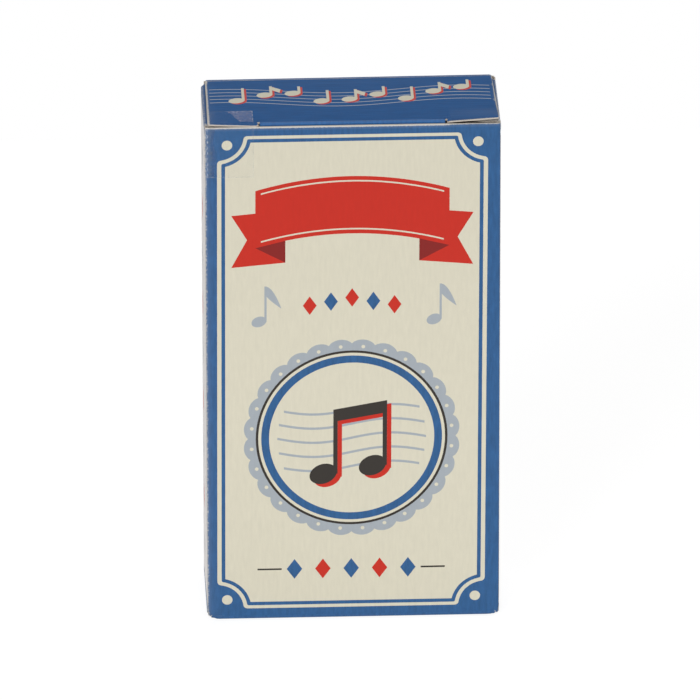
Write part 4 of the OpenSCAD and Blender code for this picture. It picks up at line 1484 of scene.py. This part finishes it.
def harpLine():
    # Stations (x, z, heading) from arm to arm, with how far the bar has tapered, from 0 on the bow
    # to 1 on the arms, and how much the round ends cut off. Bow stations go round the bow's centre,
    # shoulder stations round centres outside it, and arm stations climb along the reed.
    bow, shoulder, end = harp["bowRadius"] - harp["bowBar"][0] / 2, harp["shoulderRadius"], harp["endRound"]
    armAt = lambda w: reed["rootWide"] / 2 - w * reedSlope + reed["gap"] + harp["armBar"][0] / 2
    apart = bow + shoulder
    neckAngle = math.acos((armAt(harp["length"] / 2) + shoulder * math.cos(reedLean)) / apart)
    centre = apart * math.cos(neckAngle), harp["bowRadius"] + apart * math.sin(neckAngle)
    notch = math.asin(harp["notchHalf"] / bow) - right
    a = np.concatenate([[-right, notch - harp["notchStep"], notch + harp["notchStep"]],
                        np.linspace(notch + harp["afterNotch"], neckAngle, 64)])
    bowLine = np.stack([bow * np.cos(a), harp["bowRadius"] + bow * np.sin(a), a + right], 1)
    b = np.linspace(neckAngle, reedLean, 28)[1:]
    neckLine = np.stack([centre[0] - shoulder * np.cos(b), centre[1] - shoulder * np.sin(b), b + right], 1)
    tip = np.linspace(0, right, 5)
    armStart, armEnd = neckLine[-1, 1] + harp["armFrom"], harp["length"] - end - harp["armTo"]
    w = np.concatenate([np.linspace(armStart, armEnd, 30), harp["length"] - end * (1 - np.sin(tip))])
    armLine = np.stack([armAt(w), w, np.full(len(w), right + reedLean)], 1)
    half = np.concatenate([bowLine, neckLine, armLine])
    bowRun, neckRun = bow * (a + right), shoulder * (neckAngle - b)
    share = np.concatenate([bowRun, bowRun[-1] + neckRun]) / (bowRun[-1] + neckRun[-1])
    share = np.concatenate([share, np.ones(len(w))])
    cut = np.concatenate([np.zeros(len(half) - len(tip)), end * (1 - np.cos(tip))])
    line = np.concatenate([(half[1:] * (-1, 1, -1))[::-1], half])
    return line, *(np.concatenate([v[1:][::-1], v]) for v in (share, cut))


def addHarpFrame():
    # Each station carries a bevelled section square to the bar, a little wavy as a forged bar is.
    line, share, cut = harpLine()
    run = np.concatenate([[0], np.cumsum(np.linalg.norm(np.diff(line[:, :2], axis=0), axis=1))])
    wavy = sum(amount * np.sin(run * speed + start) for amount, speed, start in harp["waves"])
    wavy = wavy * harp["waviness"] / sum(wave[0] for wave in harp["waves"])
    (wide, deep), (armWide, armDeep) = harp["bowBar"], harp["armBar"]
    halfWide = (wide + (armWide - wide) * share) / 2 - cut + wavy * 0.5
    halfDeep = (deep + (armDeep - deep) * share) / 2 - cut - np.abs(wavy)
    signs = ((1, -1, 0), (1, 1, 0), (1, 1, 1), (-1, 1, 1), (-1, 1, 0), (-1, -1, 0), (-1, -1, 1), (1, -1, 1))
    corners = np.stack([np.stack([sx * (halfWide - harp["bevel"] * k),
                                  sy * (halfDeep - harp["bevel"] * (1 - k))], 1)
                        for sx, sy, k in signs], 1)
    section = roundedRings(corners, harp["cornerRound"])
    inNotch = np.abs(line[:, 0]) < harp["notchHalf"]
    section[inNotch, :, 1] = np.maximum(section[inNotch, :, 1], reed["thick"] / 2)
    across, depth = section[..., 0], section[..., 1]
    x = line[:, None, 0] + across * np.sin(line[:, 2])[:, None]
    z = line[:, None, 1] - across * np.cos(line[:, 2])[:, None]
    rings = np.stack([x, harp["y"] + depth, harp["z"] + z], -1)
    around = np.linspace(0, harp["girth"], rings.shape[1])
    flat = np.stack(np.broadcast_arrays(around[None], run[:, None]), -1)
    made = buildSweep("harpFrame", rings, flat, np.tile(cornerWear, len(signs))[None], platedIron)
    addPiece(made, "harp", "harp_frame")


def addLips():
    # Two lumps of the bow hammered over the reed: superellipsoids with blunt sides.
    u, v = np.meshgrid(np.linspace(-math.pi, math.pi, 33)[:-1], np.linspace(-right, right, 17)[1:-1])
    power = lambda x: np.sign(x) * np.abs(x) ** lip["power"]
    inner, outer = reed["rootWide"] / 2 - lip["in"], harp["notchHalf"] + lip["out"]
    low, high = lip["sunk"] - harp["bowBar"][1] / 2, -reed["thick"] / 2
    scale, (startU, startV) = lip["patternScale"], lip["patternStart"]
    for side, name in ((-1, "lipLeft"), (1, "lipRight")):
        x = side * ((inner + outer) / 2 + (outer - inner) / 2 * power(np.cos(v)) * power(np.cos(u)))
        y = (low + high) / 2 + (high - low) / 2 * power(np.cos(v)) * power(np.sin(u))
        z = harp["bowBar"][0] / 2 + lip["high"] / 2 * power(np.sin(v)) - lip["slope"] * (x * side - inner)
        rings = np.stack([x, harp["y"] + y, harp["z"] + z], -1)
        flat = np.stack([u * scale + side * startU, v * scale + startV], -1)
        made = buildSweep(name, rings, flat, lip["rub"] * np.abs(np.sin(2 * u)), platedIron)
        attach(made, "harp")


def reedRings(q):
    # The reed's strip at distance q up from the bow's foot. Its half width tapers evenly up to the
    # top, and its foot is wider.
    plan, outward, swell = followPath(q, (0, 0), right, reedRuns, 1)
    half = reed["rootWide"] / 2 - np.clip(q, 0, reedTop) * reedSlope
    half = np.where(q < -reed["footStep"] / 2, reed["footWide"] / 2, half)
    corners = np.stack([np.stack([sx * half, sy * reed["thick"] / 2 + 0 * half], 1)
                        for sx, sy in ((1, -1), (1, 1), (-1, 1), (-1, -1))], 1)
    section = roundedRings(corners, reed["cornerRound"])
    side, through = section[..., 0], section[..., 1]
    y = plan[:, None, 0] + outward[:, None, 0] * through
    z = plan[:, None, 1] + outward[:, None, 1] * through
    return np.stack([side, harp["y"] + y, harp["z"] + z], -1), half


def addReed():
    # One strip in four lengths that meet end to end; the first rides on the harp.
    bodies, parts = ("harp", "heel", "blade", "trigger"), ("tang", "heel", "blade", "trigger")
    ends = (-reed["thick"], *reed["cuts"], sum(run[0] for run in reedRuns))
    bent = ends[3] + reed["straight"]
    lengths = (np.concatenate([[ends[0], -reed["footStep"], 0],
                               np.linspace(reed["firstStation"], ends[1], 12)]),
               np.linspace(ends[1], ends[2], 24), np.linspace(ends[2], ends[3], 24),
               np.concatenate([np.linspace(ends[3], bent, 24), np.linspace(bent + 1, ends[4], 80)]))
    for k, (body, part, q) in enumerate(zip(bodies, parts, lengths)):
        rings, half = reedRings(q)
        around = np.linspace(0, 1, rings.shape[1])[None] * (4 * half[:, None] + 4 * reed["thick"])
        flat = np.stack([around, np.broadcast_to(q[:, None], around.shape)], -1)
        rub = np.tile(cornerWear, 4)[None]
        made = buildSweep("reed" + part.capitalize(), rings, flat, rub, springSteel)
        if k == 0:
            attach(made, body)
        else:
            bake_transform(made)
        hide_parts("reed_" + part)


addCamera()
for name, (place, size, power) in lamps.items():
    addLamp(name, place, size, power)
addBackdrop()
addFloor()
bpy.context.scene.view_settings.view_transform = "Standard"
addFront()
addSides()
addBack()
addGlueFlap()
print("walls done")
addClosure(isTop=True)
addClosure(isTop=False)
print("closures done")
addTape()
addHarpFrame()
addLips()
addReed()
print("tape and harp done")
